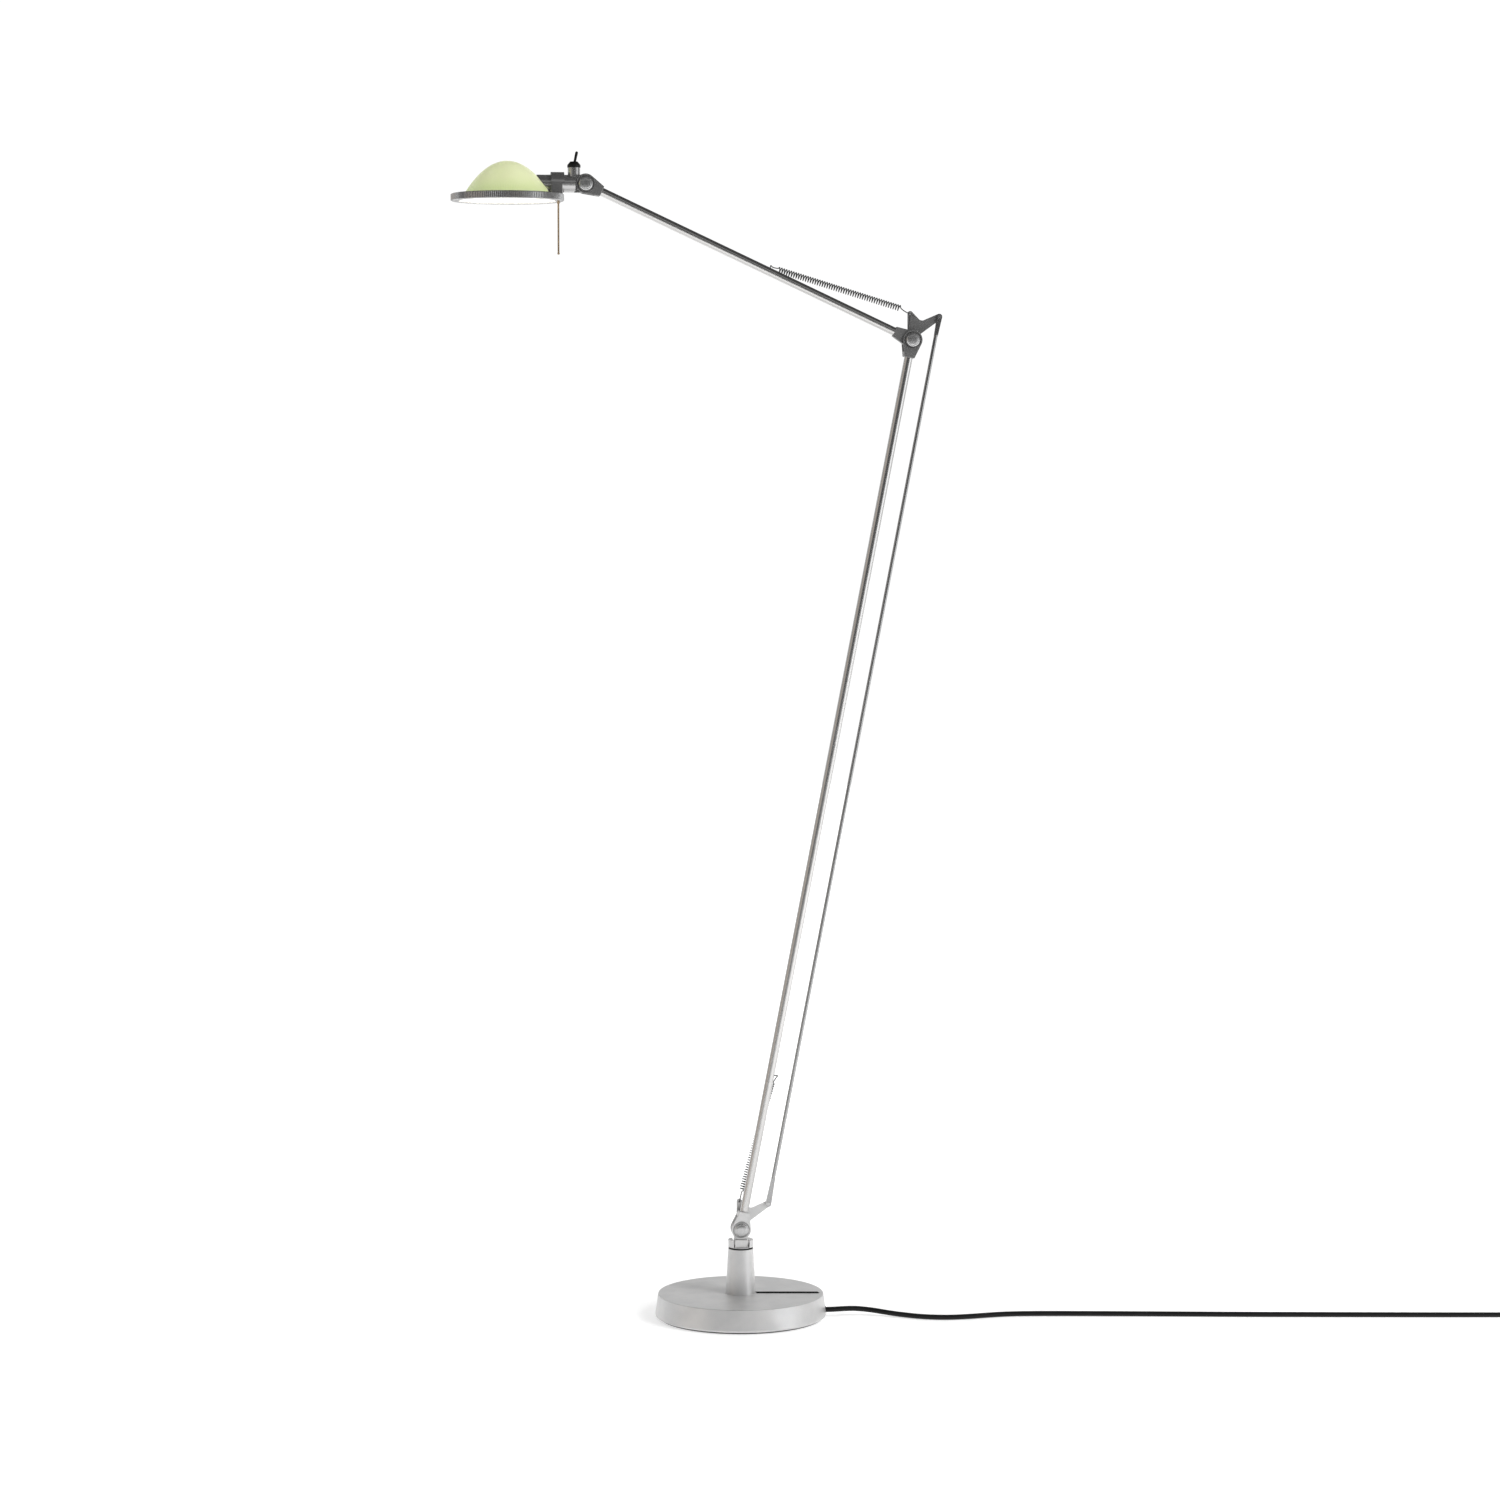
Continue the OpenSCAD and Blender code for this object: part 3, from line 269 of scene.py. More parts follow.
def drawnFinish(name, level, axis, rough=0.22, warm=0.0, metallic=1.0):
    # drawn tube or wire: long soft streaks along it and a few small marks
    finish = Finish(name, Metallic=metallic)
    at = finish.place(axis)
    streaks = finish.noise(finish.stretched(at, metalSettings["streakScale"]), 1, 3)
    marks = finish.noise(at, metalSettings["markScale"], 4, 0.65)
    tone = finish.blendColours(
        streaks.above(0.3, 0.7), grey(level * 0.95, warm), grey(level * 1.04, warm))
    tone = finish.blendColours(marks.above(0.68, 0.82) * 0.2, tone, grey(level * 0.82, warm))
    finish.set("Base Color", tone)
    finish.set("Roughness", rough + 0.06 * (streaks - 0.5) + 0.06 * (marks - 0.5))
    finish.bump(marks, 0.000004, 0.2)
    return finish


def turnedFinish(name, level, centre, axis=(0, 1, 0), rough=0.28):
    # concentric lathe rings about the pivot
    finish = Finish(name, Metallic=0.95)
    at = finish.place(axis, centre)
    away = finish.node("ShaderNodeVectorMath", {"operation": "LENGTH"}, {
        0: finish.stretched(at, (1, 1, 0))}, 1)
    ring = (away * metalSettings["ringsPerMetre"]).sine()
    marks = finish.noise(at, 400, 4)
    finish.set("Base Color", finish.blendColours(marks, grey(level * 0.9), grey(level * 1.08)))
    finish.set("Roughness", rough + 0.05 * ring + 0.1 * (marks - 0.5))
    finish.bump(ring * 0.5 + marks, 0.000008, 0.3)
    return finish


def rubberFinish(name, level, scale=1500, rough=0.55, height=0.00003, shine=0.22):
    finish = Finish(name, Metallic=0.0, Specular_IOR_Level=shine)
    at = finish.place()
    grain = finish.noise(at, scale, 3, 0.6)
    dust = finish.noise(at, 45, 4)
    finish.set("Base Color", finish.blendColours(
        dust.above(0.45, 0.8) * 0.5, grey(level), grey(level * 1.9)))
    finish.set("Roughness", rough + 0.14 * (dust - 0.5) + 0.06 * (grain - 0.5))
    finish.bump(grain, height, 0.5)
    return finish


domeSettings = {
    "glass": (0.30, 0.31, 0.20, 1),
    "glassBright": (0.34, 0.35, 0.24, 1),
    "glassPaintedShadeLow": (0.26, 0.29, 0.14, 1),     # painted shade: darker where the glass meets the rim
    # painted light: the glass glows as if lit from within
    "glow": 0.37,
    "glowHigh": (0.93, 0.98, 0.58, 1),
    # painted shade: a dimmer glow where the glass meets the rim
    "glowPaintedShadeLow": (0.84, 0.95, 0.52, 1),
    "reedValleyPaintedShade": (0.55, 0.66, 0.30, 1),     # painted shade: a dimmer glow in the valleys between reeds
    "reedShade": 0.35,
    "reeds": 150,
    "reedDepth": 0.00012,
    "reedTop": 0.016,                      # the reeds fade out this far above the rim
    "wall": 0.0024,
    "rings": 36,
    "around": 192,
    "crowding": 1.8,                       # rings lie closer together towards the top
    "notchGap": 0.0006,
    "notchReach": (0.02, 0.07),            # from the dome's middle, along the head tube
    "notchDepth": 0.02,
}


def domeFinish():
    # painted light: an emission stands in for the bulb's light shining through the glass
    finish = Finish("frostedGreenGlass", IOR=1.48, Transmission_Weight=0.15, Coat_Roughness=0.12,
                    Emission_Strength=domeSettings["glow"], Subsurface_Weight=0.15,
                    Subsurface_Scale=0.01, Subsurface_Radius=(0.8, 1.0, 0.5))
    at = finish.place(None, headCentre)
    height = finish.parts(at, "z")
    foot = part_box("dome")[0][2] - headCentre.z
    cloud = finish.noise(at, 30, 3)
    grain = finish.noise(at, 1800, 2)
    low = height.above(foot + 0.022, foot)
    reed = (finish.parts(at, "y").angleFrom(finish.parts(at, "x")) * domeSettings["reeds"]).sine()
    reed = reed * height.above(foot + domeSettings["reedTop"], foot + 0.003)
    tone = finish.blendColours(cloud.above(0.3, 0.7), domeSettings["glass"], domeSettings["glassBright"])
    # painted shade near the rim: the glass darker and its glow dimmer there
    tone = finish.blendColours(low * 0.75, tone, domeSettings["glassPaintedShadeLow"])
    finish.set("Base Color", tone)
    light = finish.blendColours(low, domeSettings["glowHigh"], domeSettings["glowPaintedShadeLow"])
    # painted shade: the glow is dimmed in the valleys between reeds
    finish.set("Emission Color", finish.blendColours(
        domeSettings["reedShade"] * reed.above(0.1, 0.8), light, domeSettings["reedValleyPaintedShade"]))
    finish.set("Roughness", 0.4 + 0.1 * (cloud - 0.5))
    finish.set("Coat Weight", 0.15)
    finish.bump(grain * 0.1 + cloud * 0.2 + reed, domeSettings["reedDepth"], 0.6)
    return finish


def opalFinish(name, strength):
    finish = Finish(name, Transmission_Weight=0.2, IOR=1.5, Emission_Strength=strength)
    at = finish.place(None, headCentre)
    cloud = finish.noise(at, 60, 3)
    finish.set("Base Color", finish.blendColours(cloud, (0.86, 0.86, 0.82, 1), (0.93, 0.93, 0.9, 1)))
    finish.set("Emission Color", finish.blendColours(cloud, (1.0, 0.95, 0.84, 1), (1.0, 0.97, 0.9, 1)))
    finish.set("Roughness", 0.35 + 0.1 * cloud)
    finish.bump(cloud, 0.00005, 0.3)
    return finish


def ironFinish():
    finish = Finish("castIron", Metallic=0.6)
    at = finish.place()
    sand = finish.noise(at, 900, 5, 0.7)
    rust = finish.noise(at, 40, 4)
    finish.set("Base Color", finish.blendColours(
        rust.above(0.55, 0.75), grey(0.06), (0.11, 0.06, 0.035, 1)))
    finish.set("Roughness", 0.6 + 0.3 * (sand - 0.5))
    finish.bump(sand, 0.0002, 0.6)
    return finish


def feltFinish(name, tone=0.05):
    finish = Finish(name, Sheen_Weight=0.4, Sheen_Roughness=0.6)
    at = finish.place()
    fibre = finish.noise(finish.stretched(at, (1, 3, 1)), 900, 6, 0.75)
    finish.set("Base Color", finish.blendColours(fibre, grey(tone * 0.25), grey(tone)))
    finish.set("Roughness", 0.85 + 0.1 * (fibre - 0.5))
    finish.bump(fibre, 0.0003, 0.7)
    return finish


silver = paintFinish("silverPaint", paintSettings["silver"], paintSettings["silverMetal"], 0.38)
# painted shade: the next two finishes are darker copies of the silver paint
silverInPaintedShade = paintFinish("silverPaintInPaintedShade", paintSettings["silverInPaintedShade"], paintSettings["silverInPaintedShadeMetal"], 0.36)
headMetalPaintedShade = paintFinish("headMetalPaintedShade", paintSettings["headPaintedShadeLevel"], paintSettings["headMetalPaintedShade"], 0.24)
zinc = drawnFinish("zincSteel", metalSettings["zinc"], (0, 0, 1), 0.34)
axleSteel = drawnFinish("axleSteel", metalSettings["zinc"], (0, 1, 0), 0.28)
lowerMetal = drawnFinish("lowerTubeMetal", metalSettings["tube"], lowerDirection, 0.2, 0.012)
upperMetal = drawnFinish("upperTubeMetal", metalSettings["tube"], upperDirection, 0.2, 0.012)
rodMetal = drawnFinish("rodMetal", metalSettings["rod"], lowerDirection, 0.24)
springMetal = drawnFinish("springWire", metalSettings["spring"], (0, 1, 0), 0.36, 0.01, 0.8)
handleMetal = drawnFinish("handleMetal", metalSettings["handle"], (0, 0, 1), 0.4, 0.35, 0.7)
screwSteel = drawnFinish("screwSteel", metalSettings["screw"], (0, 1, 0), 0.3)
cordRubber = rubberFinish("cordSheath", 0.007, 1500, 0.42)
blackPlastic = rubberFinish("blackPlastic", 0.006, 2200, 0.4, 0.00002)
nylon = rubberFinish("bushNylon", 0.012, 700, 0.5)
ceramic = rubberFinish("holderCeramic", 0.4, 300, 0.3, 0.00003, 0.5)
domeGlass = domeFinish()
# painted light: the diffuser glass glows as if lit by the bulb behind it
opalGlass = opalFinish("diffuserGlass", 1.1)
lampGlass = opalFinish("lampGlass", 1.5)
iron = ironFinish()
felt = feltFinish("feltPad")
strap = feltFinish("hookTape", 0.03)

dressNodes(silver, "base_shell", "post", "post_ring", "foot_knuckle", "swivel_collar", "foot_fork",
           "base_plate")
# painted shade: the elbow and head parts take the darker copies of the silver paint
dressNodes(silverInPaintedShade, "elbow_fork", "elbow_plate", "elbow_knuckle", "head_fork")
dressNodes(headMetalPaintedShade, "head_knuckle", "head_tube", "rim", "rim_bracket")
dressNodes(zinc, "bottom_plate", "bottom_screws", "post_screws", "spindle_clip", "collar_screws",
           "plate_screws", "bracket_screws", "glass_clips", "swivel_spindle")
dressNodes(axleSteel, "foot_axle", "elbow_axle", "head_axle", "rod_rivets", "foot_nut", "elbow_nut",
           "head_nut")
dressNodes(lowerMetal, "lower_tube")
dressNodes(upperMetal, "upper_tube")
dressNodes(rodMetal, "parallel_rod")
dressNodes(handleMetal, "handle")
dressNodes(cordRubber, "base_lead", "lower_lead", "upper_lead")
dressNodes(blackPlastic, "cord_gland", "switch_body", "switch_nut", "switch_lever", "plug")
dressNodes(nylon, "upper_bush", "lower_bush")
dressNodes(ceramic, "terminal_block", "lampholder")
dressNodes(opalGlass, "diffuser")
dressNodes(lampGlass, "bulb")
dressNodes(iron, "base_weight")
dressNodes(felt, "foot_pad")
for capName, pivot in (("foot_cap", footPivot), ("elbow_cap", elbowPivot), ("head_cap", headPivot)):
    dressNodes(turnedFinish(capName + "Metal", metalSettings["cap"], pivot), capName)
print("finishes made:", len(bpy.data.materials))

edgeSettings = {
    "width": 0.00055,
    "plateShare": 0.6,                     # of that width, on the thin plates
    "sharpest": 40,                        # degrees: gentler edges stay as they are
    "joinWithin": 0.000002,
    "castings": ["foot_fork", "elbow_fork", "head_fork", "foot_knuckle", "elbow_knuckle", "head_knuckle",
                 "swivel_collar", "rim_bracket"],
    "plates": ["base_plate", "elbow_plate", "foot_nut", "elbow_nut", "head_nut", "plug"],
}


def breakEdges(names, width):
    # small polished chamfers along the sharp edges, which the real castings and plates have
    for name in names:
        part = nodes[name]
        weld = part.modifiers.new("joined", "WELD")
        weld.merge_threshold = edgeSettings["joinWithin"]
        edge = part.modifiers.new("brokenEdges", "BEVEL")
        edge.width = width
        edge.segments = 2
        edge.limit_method = "ANGLE"
        edge.angle_limit = math.radians(edgeSettings["sharpest"])
        part.modifiers.new("flatFaces", "WEIGHTED_NORMAL")


breakEdges(edgeSettings["castings"], edgeSettings["width"])
breakEdges(edgeSettings["plates"], edgeSettings["width"] * edgeSettings["plateShare"])
print("edges broken")


def pieceFrom(name, mesh):
    piece = bpy.data.objects.new(name, mesh)
    bpy.context.collection.objects.link(piece)
    return piece


def meshFrom(name, shape, smooth=True):
    bmesh.ops.recalc_face_normals(shape, faces=shape.faces)
    mesh = bpy.data.meshes.new(name)
    shape.to_mesh(mesh)
    shape.free()
    for face in mesh.polygons:
        face.use_smooth = smooth
    return mesh


def sweptTube(shape, path, radius, sides=12):
    # a closed tube along path; its rings keep their twist from point to point
    rings = []
    side = None
    for i, point in enumerate(path):
        ahead = (path[min(i + 1, len(path) - 1)] - path[max(i - 1, 0)]).normalized()
        if side is None:
            side = ahead.orthogonal().normalized()
        side = (side - ahead * side.dot(ahead)).normalized()
        up = ahead.cross(side)
        rings.append([
            shape.verts.new(point + radius * (math.cos(a) * side + math.sin(a) * up))
            for a in (2 * math.pi * k / sides for k in range(sides))])
    for one, two in zip(rings, rings[1:]):
        for k in range(sides):
            shape.faces.new((one[k], one[(k + 1) % sides], two[(k + 1) % sides], two[k]))
    shape.faces.new(rings[0])
    shape.faces.new(rings[-1])


def smoothRoute(points, steps):
    # Catmull-Rom through listed points
    route = []
    for i in range(len(points) - 1):
        a, b = points[max(i - 1, 0)], points[i]
        c, d = points[i + 1], points[min(i + 2, len(points) - 1)]
        for k in range(steps):
            t = k / steps
            route.append((2 * b + (c - a) * t + (2 * a - 5 * b + 4 * c - d) * t * t
                          + (3 * b - a - 3 * c + d) * t ** 3) / 2)
    return route + [points[-1]]


def addRing(shape, centre, radius, normal, sides=24):
    side = Vector(normal).orthogonal().normalized()
    up = Vector(normal).normalized().cross(side)
    return [shape.verts.new(centre + radius * (math.cos(a) * side + math.sin(a) * up))
            for a in (2 * math.pi * k / sides for k in range(sides))]


def turnedShape(shape, base, axis, profile, sides=24):
    # rings of (radius, height) about an axis from base, closed at both ends
    axis = Vector(axis).normalized()
    rings = [addRing(shape, base + axis * height, radius, axis, sides) for radius, height in profile]
    for one, two in zip(rings, rings[1:]):
        for k in range(sides):
            shape.faces.new((one[k], one[(k + 1) % sides], two[(k + 1) % sides], two[k]))
    shape.faces.new(rings[0])
    shape.faces.new(rings[-1])


cordSettings = {
    "diameter": 0.0065,
    "run": [                       # along the exit, to its left, above the floor
        (0.084, 0, 0.0085), (0.096, 0, 0.0085), (0.108, 0, 0.0085), (0.120, 0.0005, 0.0088),
        (0.132, 0.003, 0.009), (0.144, 0.0055, 0.0086), (0.156, 0.0065, 0.0076),
        (0.168, 0.005, 0.0064), (0.180, 0.002, 0.0051), (0.192, -0.002, 0.004),
        (0.206, -0.008, 0.0035), (0.222, -0.015, 0.0033), (0.238, -0.020, 0.0033),
        (0.254, -0.022, 0.0033), (0.270, -0.021, 0.0033), (0.286, -0.0175, 0.0033),
        (0.302, -0.0125, 0.0033), (0.318, -0.0075, 0.0033), (0.334, -0.0035, 0.0033),
        (0.352, -0.001, 0.0033), (0.380, 0, 0.0033), (0.420, 0, 0.0033), (0.480, -0.001, 0.0033),
        (0.560, -0.003, 0.0033), (0.640, -0.005, 0.0033), (0.720, -0.006, 0.0033),
        (0.800, -0.007, 0.0033), (0.880, -0.008, 0.0034), (0.950, -0.008, 0.0034),
        (1.000, -0.008, 0.0034)],
    "coilCentre": (1.028, 0.036),
    "coilRadii": (0.044, 0.0375, 0.031, 0.031, 0.0375, 0.044),
    "tail": [
        (1.072, 0.042, 0.0094), (1.072, 0.048, 0.0085), (1.072, 0.054, 0.0074),
        (1.072, 0.059, 0.0067), (1.072, 0.064, 0.0065)],
    "turns": 5.25,
    "perTurn": 40,
    "shiftFrom": 0.8,                      # share of a turn after which it moves over to the next
    "shiftOver": 0.2,
}


def alongExit(point):
    return Matrix.Rotation(exitTurn, 3, "Z") @ Vector(point)


def coilPoints():
    # two layers of three turns: inwards below, up at the inner turn, outwards above
    radii = cordSettings["coilRadii"]
    x, y = cordSettings["coilCentre"]
    d = cordSettings["diameter"]
    perTurn = cordSettings["perTurn"]
    points = []
    for i in range(1, int(cordSettings["turns"] * perTurn) + 1):
        turn, part = divmod(i / perTurn, 1)
        turn = min(int(turn), len(radii) - 1)
        ahead = min(turn + 1, len(radii) - 1)
        shift = max(0, (part - cordSettings["shiftFrom"]) / cordSettings["shiftOver"])
        shift = shift * shift * (3 - 2 * shift)
        radius = radii[turn] + (radii[ahead] - radii[turn]) * shift
        layer = 0 if turn < 2 else (shift if turn == 2 else 1)
        angle = 2 * math.pi * i / perTurn - math.pi / 2
        points.append(Vector((x + radius * math.cos(angle), y + radius * math.sin(angle),
                              d / 2 + 0.0001 + layer * d)))
    return points


def makeCord():
    run = smoothRoute([Vector(p) for p in cordSettings["run"]], 4)
    start = Vector((cordSettings["coilCentre"][0], -0.008, 0.0034))
    tail = smoothRoute([Vector(p) for p in cordSettings["tail"]], 2)
    route = [alongExit(p) for p in run + [start] + coilPoints() + tail]
    curve = bpy.data.curves.new("mainsCord", "CURVE")
    curve.dimensions = "3D"
    curve.bevel_depth = cordSettings["diameter"] / 2
    curve.bevel_resolution = 5
    curve.use_fill_caps = True
    spline = curve.splines.new("POLY")
    spline.points.add(len(route) - 1)
    for place, point in zip(spline.points, route):
        place.co = (*point, 1)
    spline.use_smooth = True
    cord = bpy.data.objects.new("mainsCord", curve)
    bpy.context.collection.objects.link(cord)
    dress(cord, cordRubber)
    return cord, sum((b - a).length for a, b in zip(route, route[1:]))


tieSettings = {
    "turn": 150,                           # degrees round the coil
    "halfLength": 0.006,
    "halfWidth": 0.0102,
    "corner": 0.003,
    "thickness": 0.0009,
}


def makeTie():
    # a flat strap round the bundle of turns
    x, y = cordSettings["coilCentre"]
    d = cordSettings["diameter"]
    at = math.radians(tieSettings["turn"])
    shape = bmesh.new()
    outward = Vector((math.cos(at), math.sin(at), 0))
    along = Vector((-math.sin(at), math.cos(at), 0))
    centre = Vector((x, y, d + 0.0001)) + outward * cordSettings["coilRadii"][1]
    halfWide, halfTall, corner = tieSettings["halfWidth"], d + 0.0003, tieSettings["corner"]
    outline = []
    for sx, sz, first in ((1, 1, 0), (-1, 1, 90), (-1, -1, 180), (1, -1, 270)):
        for step in range(5):
            a = math.radians(first + step * 22.5)
            outline.append((sx * (halfWide - corner) + corner * math.cos(a),
                            sz * (halfTall - corner) + corner * math.sin(a)))
    half, thick = tieSettings["halfLength"], tieSettings["thickness"]
    rings = []
    for offset, grow in ((-half, 0), (-half, thick), (half, thick), (half, 0)):
        rings.append([
            shape.verts.new(alongExit(centre + along * offset + outward * u * (1 + grow / halfWide)
                            + Vector((0, 0, max(v * (1 + grow / halfTall), 0.0002 - halfTall)))))
            for u, v in outline])
    count = len(outline)
    for one, two in zip(rings, rings[1:] + rings[:1]):
        for k in range(count):
            shape.faces.new((one[k], one[(k + 1) % count], two[(k + 1) % count], two[k]))
    tie = pieceFrom("coilTie", meshFrom("coilTie", shape))
    dress(tie, strap)
    return tie


plugSettings = {
    "boot": 0.020,
    "bootRadii": (0.00355, 0.00525),
    "bootRibs": 6,
    "bodyLength": 0.034,
    "halfThick": 0.0065,
    "ribs": 7,
    "ribHalfWidth": 0.0085,
    "firstRib": 0.010,                     # from the boot
    "ribStep": 0.0024,
    "ribRadius": 0.0006,
    "pinGap": 0.0093,
    "pinRadius": 0.00205,
    "pinLength": 0.0182,
}


def plugPoint(along, across, up):
    # the plug points along +Y of the exit from the end of the tail
    end = Vector(cordSettings["tail"][-1])
    return alongExit(end + Vector((-across, along, up)))


def makePlugRibs():
    shape = bmesh.new()
    ahead = alongExit((0, 1, 0))
    first, last = plugSettings["bootRadii"]
    for i in range(plugSettings["bootRibs"]):
        share = (i + 1) / (plugSettings["bootRibs"] + 1)
        radius = first + (last - first) * share
        turnedShape(shape, plugPoint(plugSettings["boot"] * share, 0, 0), ahead,
                    [(radius - 0.0004, -0.0007), (radius + 0.0002, -0.0005), (radius + 0.0003, 0),
                     (radius + 0.0002, 0.0005), (radius - 0.0004, 0.0007)], 28)
    wide = plugSettings["ribHalfWidth"]
    top = plugSettings["halfThick"]
    for i in range(plugSettings["ribs"]):
        along = plugSettings["boot"] + plugSettings["firstRib"] + i * plugSettings["ribStep"]
        reach = wide * (1 - 0.04 * abs(i - (plugSettings["ribs"] - 1) / 2))
        sweptTube(shape, [plugPoint(along, s * reach, top - (0.0005 if abs(s) == 1 else 0))
                          for s in (-1, -0.93, -0.4, 0, 0.4, 0.93, 1)], plugSettings["ribRadius"], 10)
    ribs = pieceFrom("plugGrip", meshFrom("plugGrip", shape))
    dress(ribs, blackPlastic)
    return ribs


def makePlugPins():
    shape = bmesh.new()
    ahead = alongExit((0, 1, 0))
    start = plugSettings["boot"] + plugSettings["bodyLength"] - 0.0002
    radius, length = plugSettings["pinRadius"], plugSettings["pinLength"]
    for across in (-plugSettings["pinGap"], plugSettings["pinGap"]):
        turnedShape(shape, plugPoint(start, across, 0), ahead,
                    [(radius + 0.0006, 0), (radius + 0.0006, 0.0006), (radius, 0.0009),
                     (radius, length - 0.0012), (radius * 0.8, length - 0.0003),
                     (radius * 0.45, length)], 24)
    pins = pieceFrom("plugPins", meshFrom("plugPins", shape))
    dress(pins, zinc)
    return pins


cord, cordLength = makeCord()
cordExtras = [makeTie(), makePlugRibs(), makePlugPins()]
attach(cord, "base")
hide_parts("cord_run", "cord_coil", "cord_tail")
for extra in cordExtras:
    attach(extra, "base")
print("cord laid:", round(cordLength, 3), "m")

springSettings = {
    "outer": 0.0084,
    "wire": 0.0014,
    "pitch": 0.0031,                       # from one turn of the wire to the next
    "horn": (-0.0008, 0.033),              # the plate's hole: across and up from the pivot
    "anchor": 0.199,                       # the tube's hole: along the arm from the pivot
    "nearHook": 0.015,
    "farHook": 0.012,
    "stretchOver": 0.055,                  # the end that follows the plate when the arm tilts
    "lowerLift": (0, 0.001),               # how far the coils stand off the straight line at each end
    "upperLift": (0.0025, 0.0012),
    "lowerReach": 0.0044,                  # how far the far hook stands out from the tube
    "upperReach": 0.0028,
}


def coilPath(a, b, turns, radius, perTurn=14):
    axis = b - a
    ahead = axis.normalized()
    side = Vector((0, 1, 0)).cross(ahead).normalized()
    up = ahead.cross(side)
    total = int(turns * perTurn)
    return [a + axis * (i / total) + radius * (math.cos(2 * math.pi * i / perTurn) * side
            + math.sin(2 * math.pi * i / perTurn) * up) for i in range(total + 1)]


def makeSpring(name, node, tube, pivot, direction, lift, reachOut):
    # the hooks' points are placed in the arm's own directions
    turn = Matrix.Rotation(math.atan2(direction.x, direction.z), 3, "Y")
    plateY = middle("base_plate", 1)
    tubeR = halfWidth(tube)
    anchor = springSettings["anchor"]
    wire = springSettings["wire"]
    horn = turn.transposed() @ Vector((springSettings["horn"][0], plateY, springSettings["horn"][1]))
    line = Vector((tubeR - horn.x, 0, anchor - horn.z)).normalized()
    a = horn + springSettings["nearHook"] * line + Vector((lift[0], 0, 0))
    b = Vector((tubeR + lift[1], plateY, anchor)) - springSettings["farHook"] * line
    turns = round((b - a).length / springSettings["pitch"])
    coils = coilPath(a, b, turns, (springSettings["outer"] - wire) / 2)
    nearHook = smoothRoute([
        horn + Vector((0, 0.0022, 0)), horn + Vector((0, 0.0004, 0)) - line * 0.0014,
        horn - Vector((0, 0.0018, 0)), horn - Vector((0, 0.0016, 0)) + line * 0.005,
        a - line * 0.002 - Vector((0, 0.0008, 0)), coils[0]], 5)
    out = Vector((reachOut, 0, 0))
    hole = Vector((tubeR, 0, anchor))
    farHook = smoothRoute([
        coils[-1], b + line * 0.002 + Vector((0.0015, -0.0012, 0)),
        hole + Vector((0, plateY * 0.6, -0.0035)) + out * 0.8, hole + Vector((0, 0.0015, 0)) + out,
        hole + out * 0.3, hole - Vector((0.001, 0, 0))], 5)
    shape = bmesh.new()
    sweptTube(shape, [pivot + turn @ p for p in nearHook[:-1] + coils + farHook[1:]], wire / 2, 8)
    spring = pieceFrom(name, meshFrom(name, shape))
    dress(spring, springMetal)
    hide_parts(node)
    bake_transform(spring)


makeSpring("lowerSpring", "lower_spring", "upper_tube", footPivot, lowerDirection,
           springSettings["lowerLift"], springSettings["lowerReach"])
makeSpring("upperSpring", "upper_spring", "upper_tube", elbowPivot, upperDirection,
           springSettings["upperLift"], springSettings["upperReach"])
print("springs wound")

screwSettings = {
    "radius": 0.0016,
    "socket": 0.0008,
    "depth": 0.0009,
    "proud": 0.0005,
    "fromPivot": 0.0188,                   # along the arm, on the joint's end
    "upperAlong": 1.08,                    # the knuckle's screw sits a little further out
    "upperOut": 0.0068,                    # and on its upper face
}


def makeSetScrew(name, place, facing, body):
    # socket screw: a rounded rim round a six-sided hole
    shape = bmesh.new()
    radius, socket, proud = screwSettings["radius"], screwSettings["socket"], screwSettings["proud"]
    rings = [addRing(shape, place + facing * height, r, facing) for r, height in (
        (radius, -0.0004), (radius, proud * 0.7), (radius * 0.9, proud), (socket * 1.3, proud))]
    for depth in (proud, -screwSettings["depth"]):
        ring = addRing(shape, place + facing * depth, socket, facing)
        for k, corner in enumerate(ring):
            turn = 2 * math.pi * k / len(ring)
            corner.co += (corner.co - place - facing * depth) * (
                1 / math.cos((turn % (math.pi / 3)) - math.pi / 6) - 1)
        rings.append(ring)
    for one, two in zip(rings, rings[1:]):
        for k in range(len(one)):
            ahead = (k + 1) % len(one)
            shape.faces.new((one[k], one[ahead], two[ahead], two[k]))
    shape.faces.new(rings[0])
    shape.faces.new(rings[-1])
    screw = pieceFrom(name, meshFrom(name, shape))
    dress(screw, screwSteel)
    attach(screw, body)


reach = screwSettings["fromPivot"]
rear = Vector((0, 1, 0))
upperSide = upperDirection.cross(rear)     # square to the upper arm, on its upper side
upperSide *= math.copysign(1, upperSide.z)
makeSetScrew("elbowScrew", elbowPivot - lowerDirection * reach - rear * forkFront, rear, "lower_arm")
makeSetScrew("headScrew", headPivot - upperDirection * reach - rear * forkFront, rear, "upper_arm")
makeSetScrew("upperScrew", elbowPivot + upperDirection * reach * screwSettings["upperAlong"]
             + upperSide * screwSettings["upperOut"], upperSide, "upper_arm")
print("set screws in")


def domeShare(t):
    # radius of the dome as a share of its foot's, at a share t of its height under the top
    return math.sqrt(1.065 * t - 0.065 * t * t)


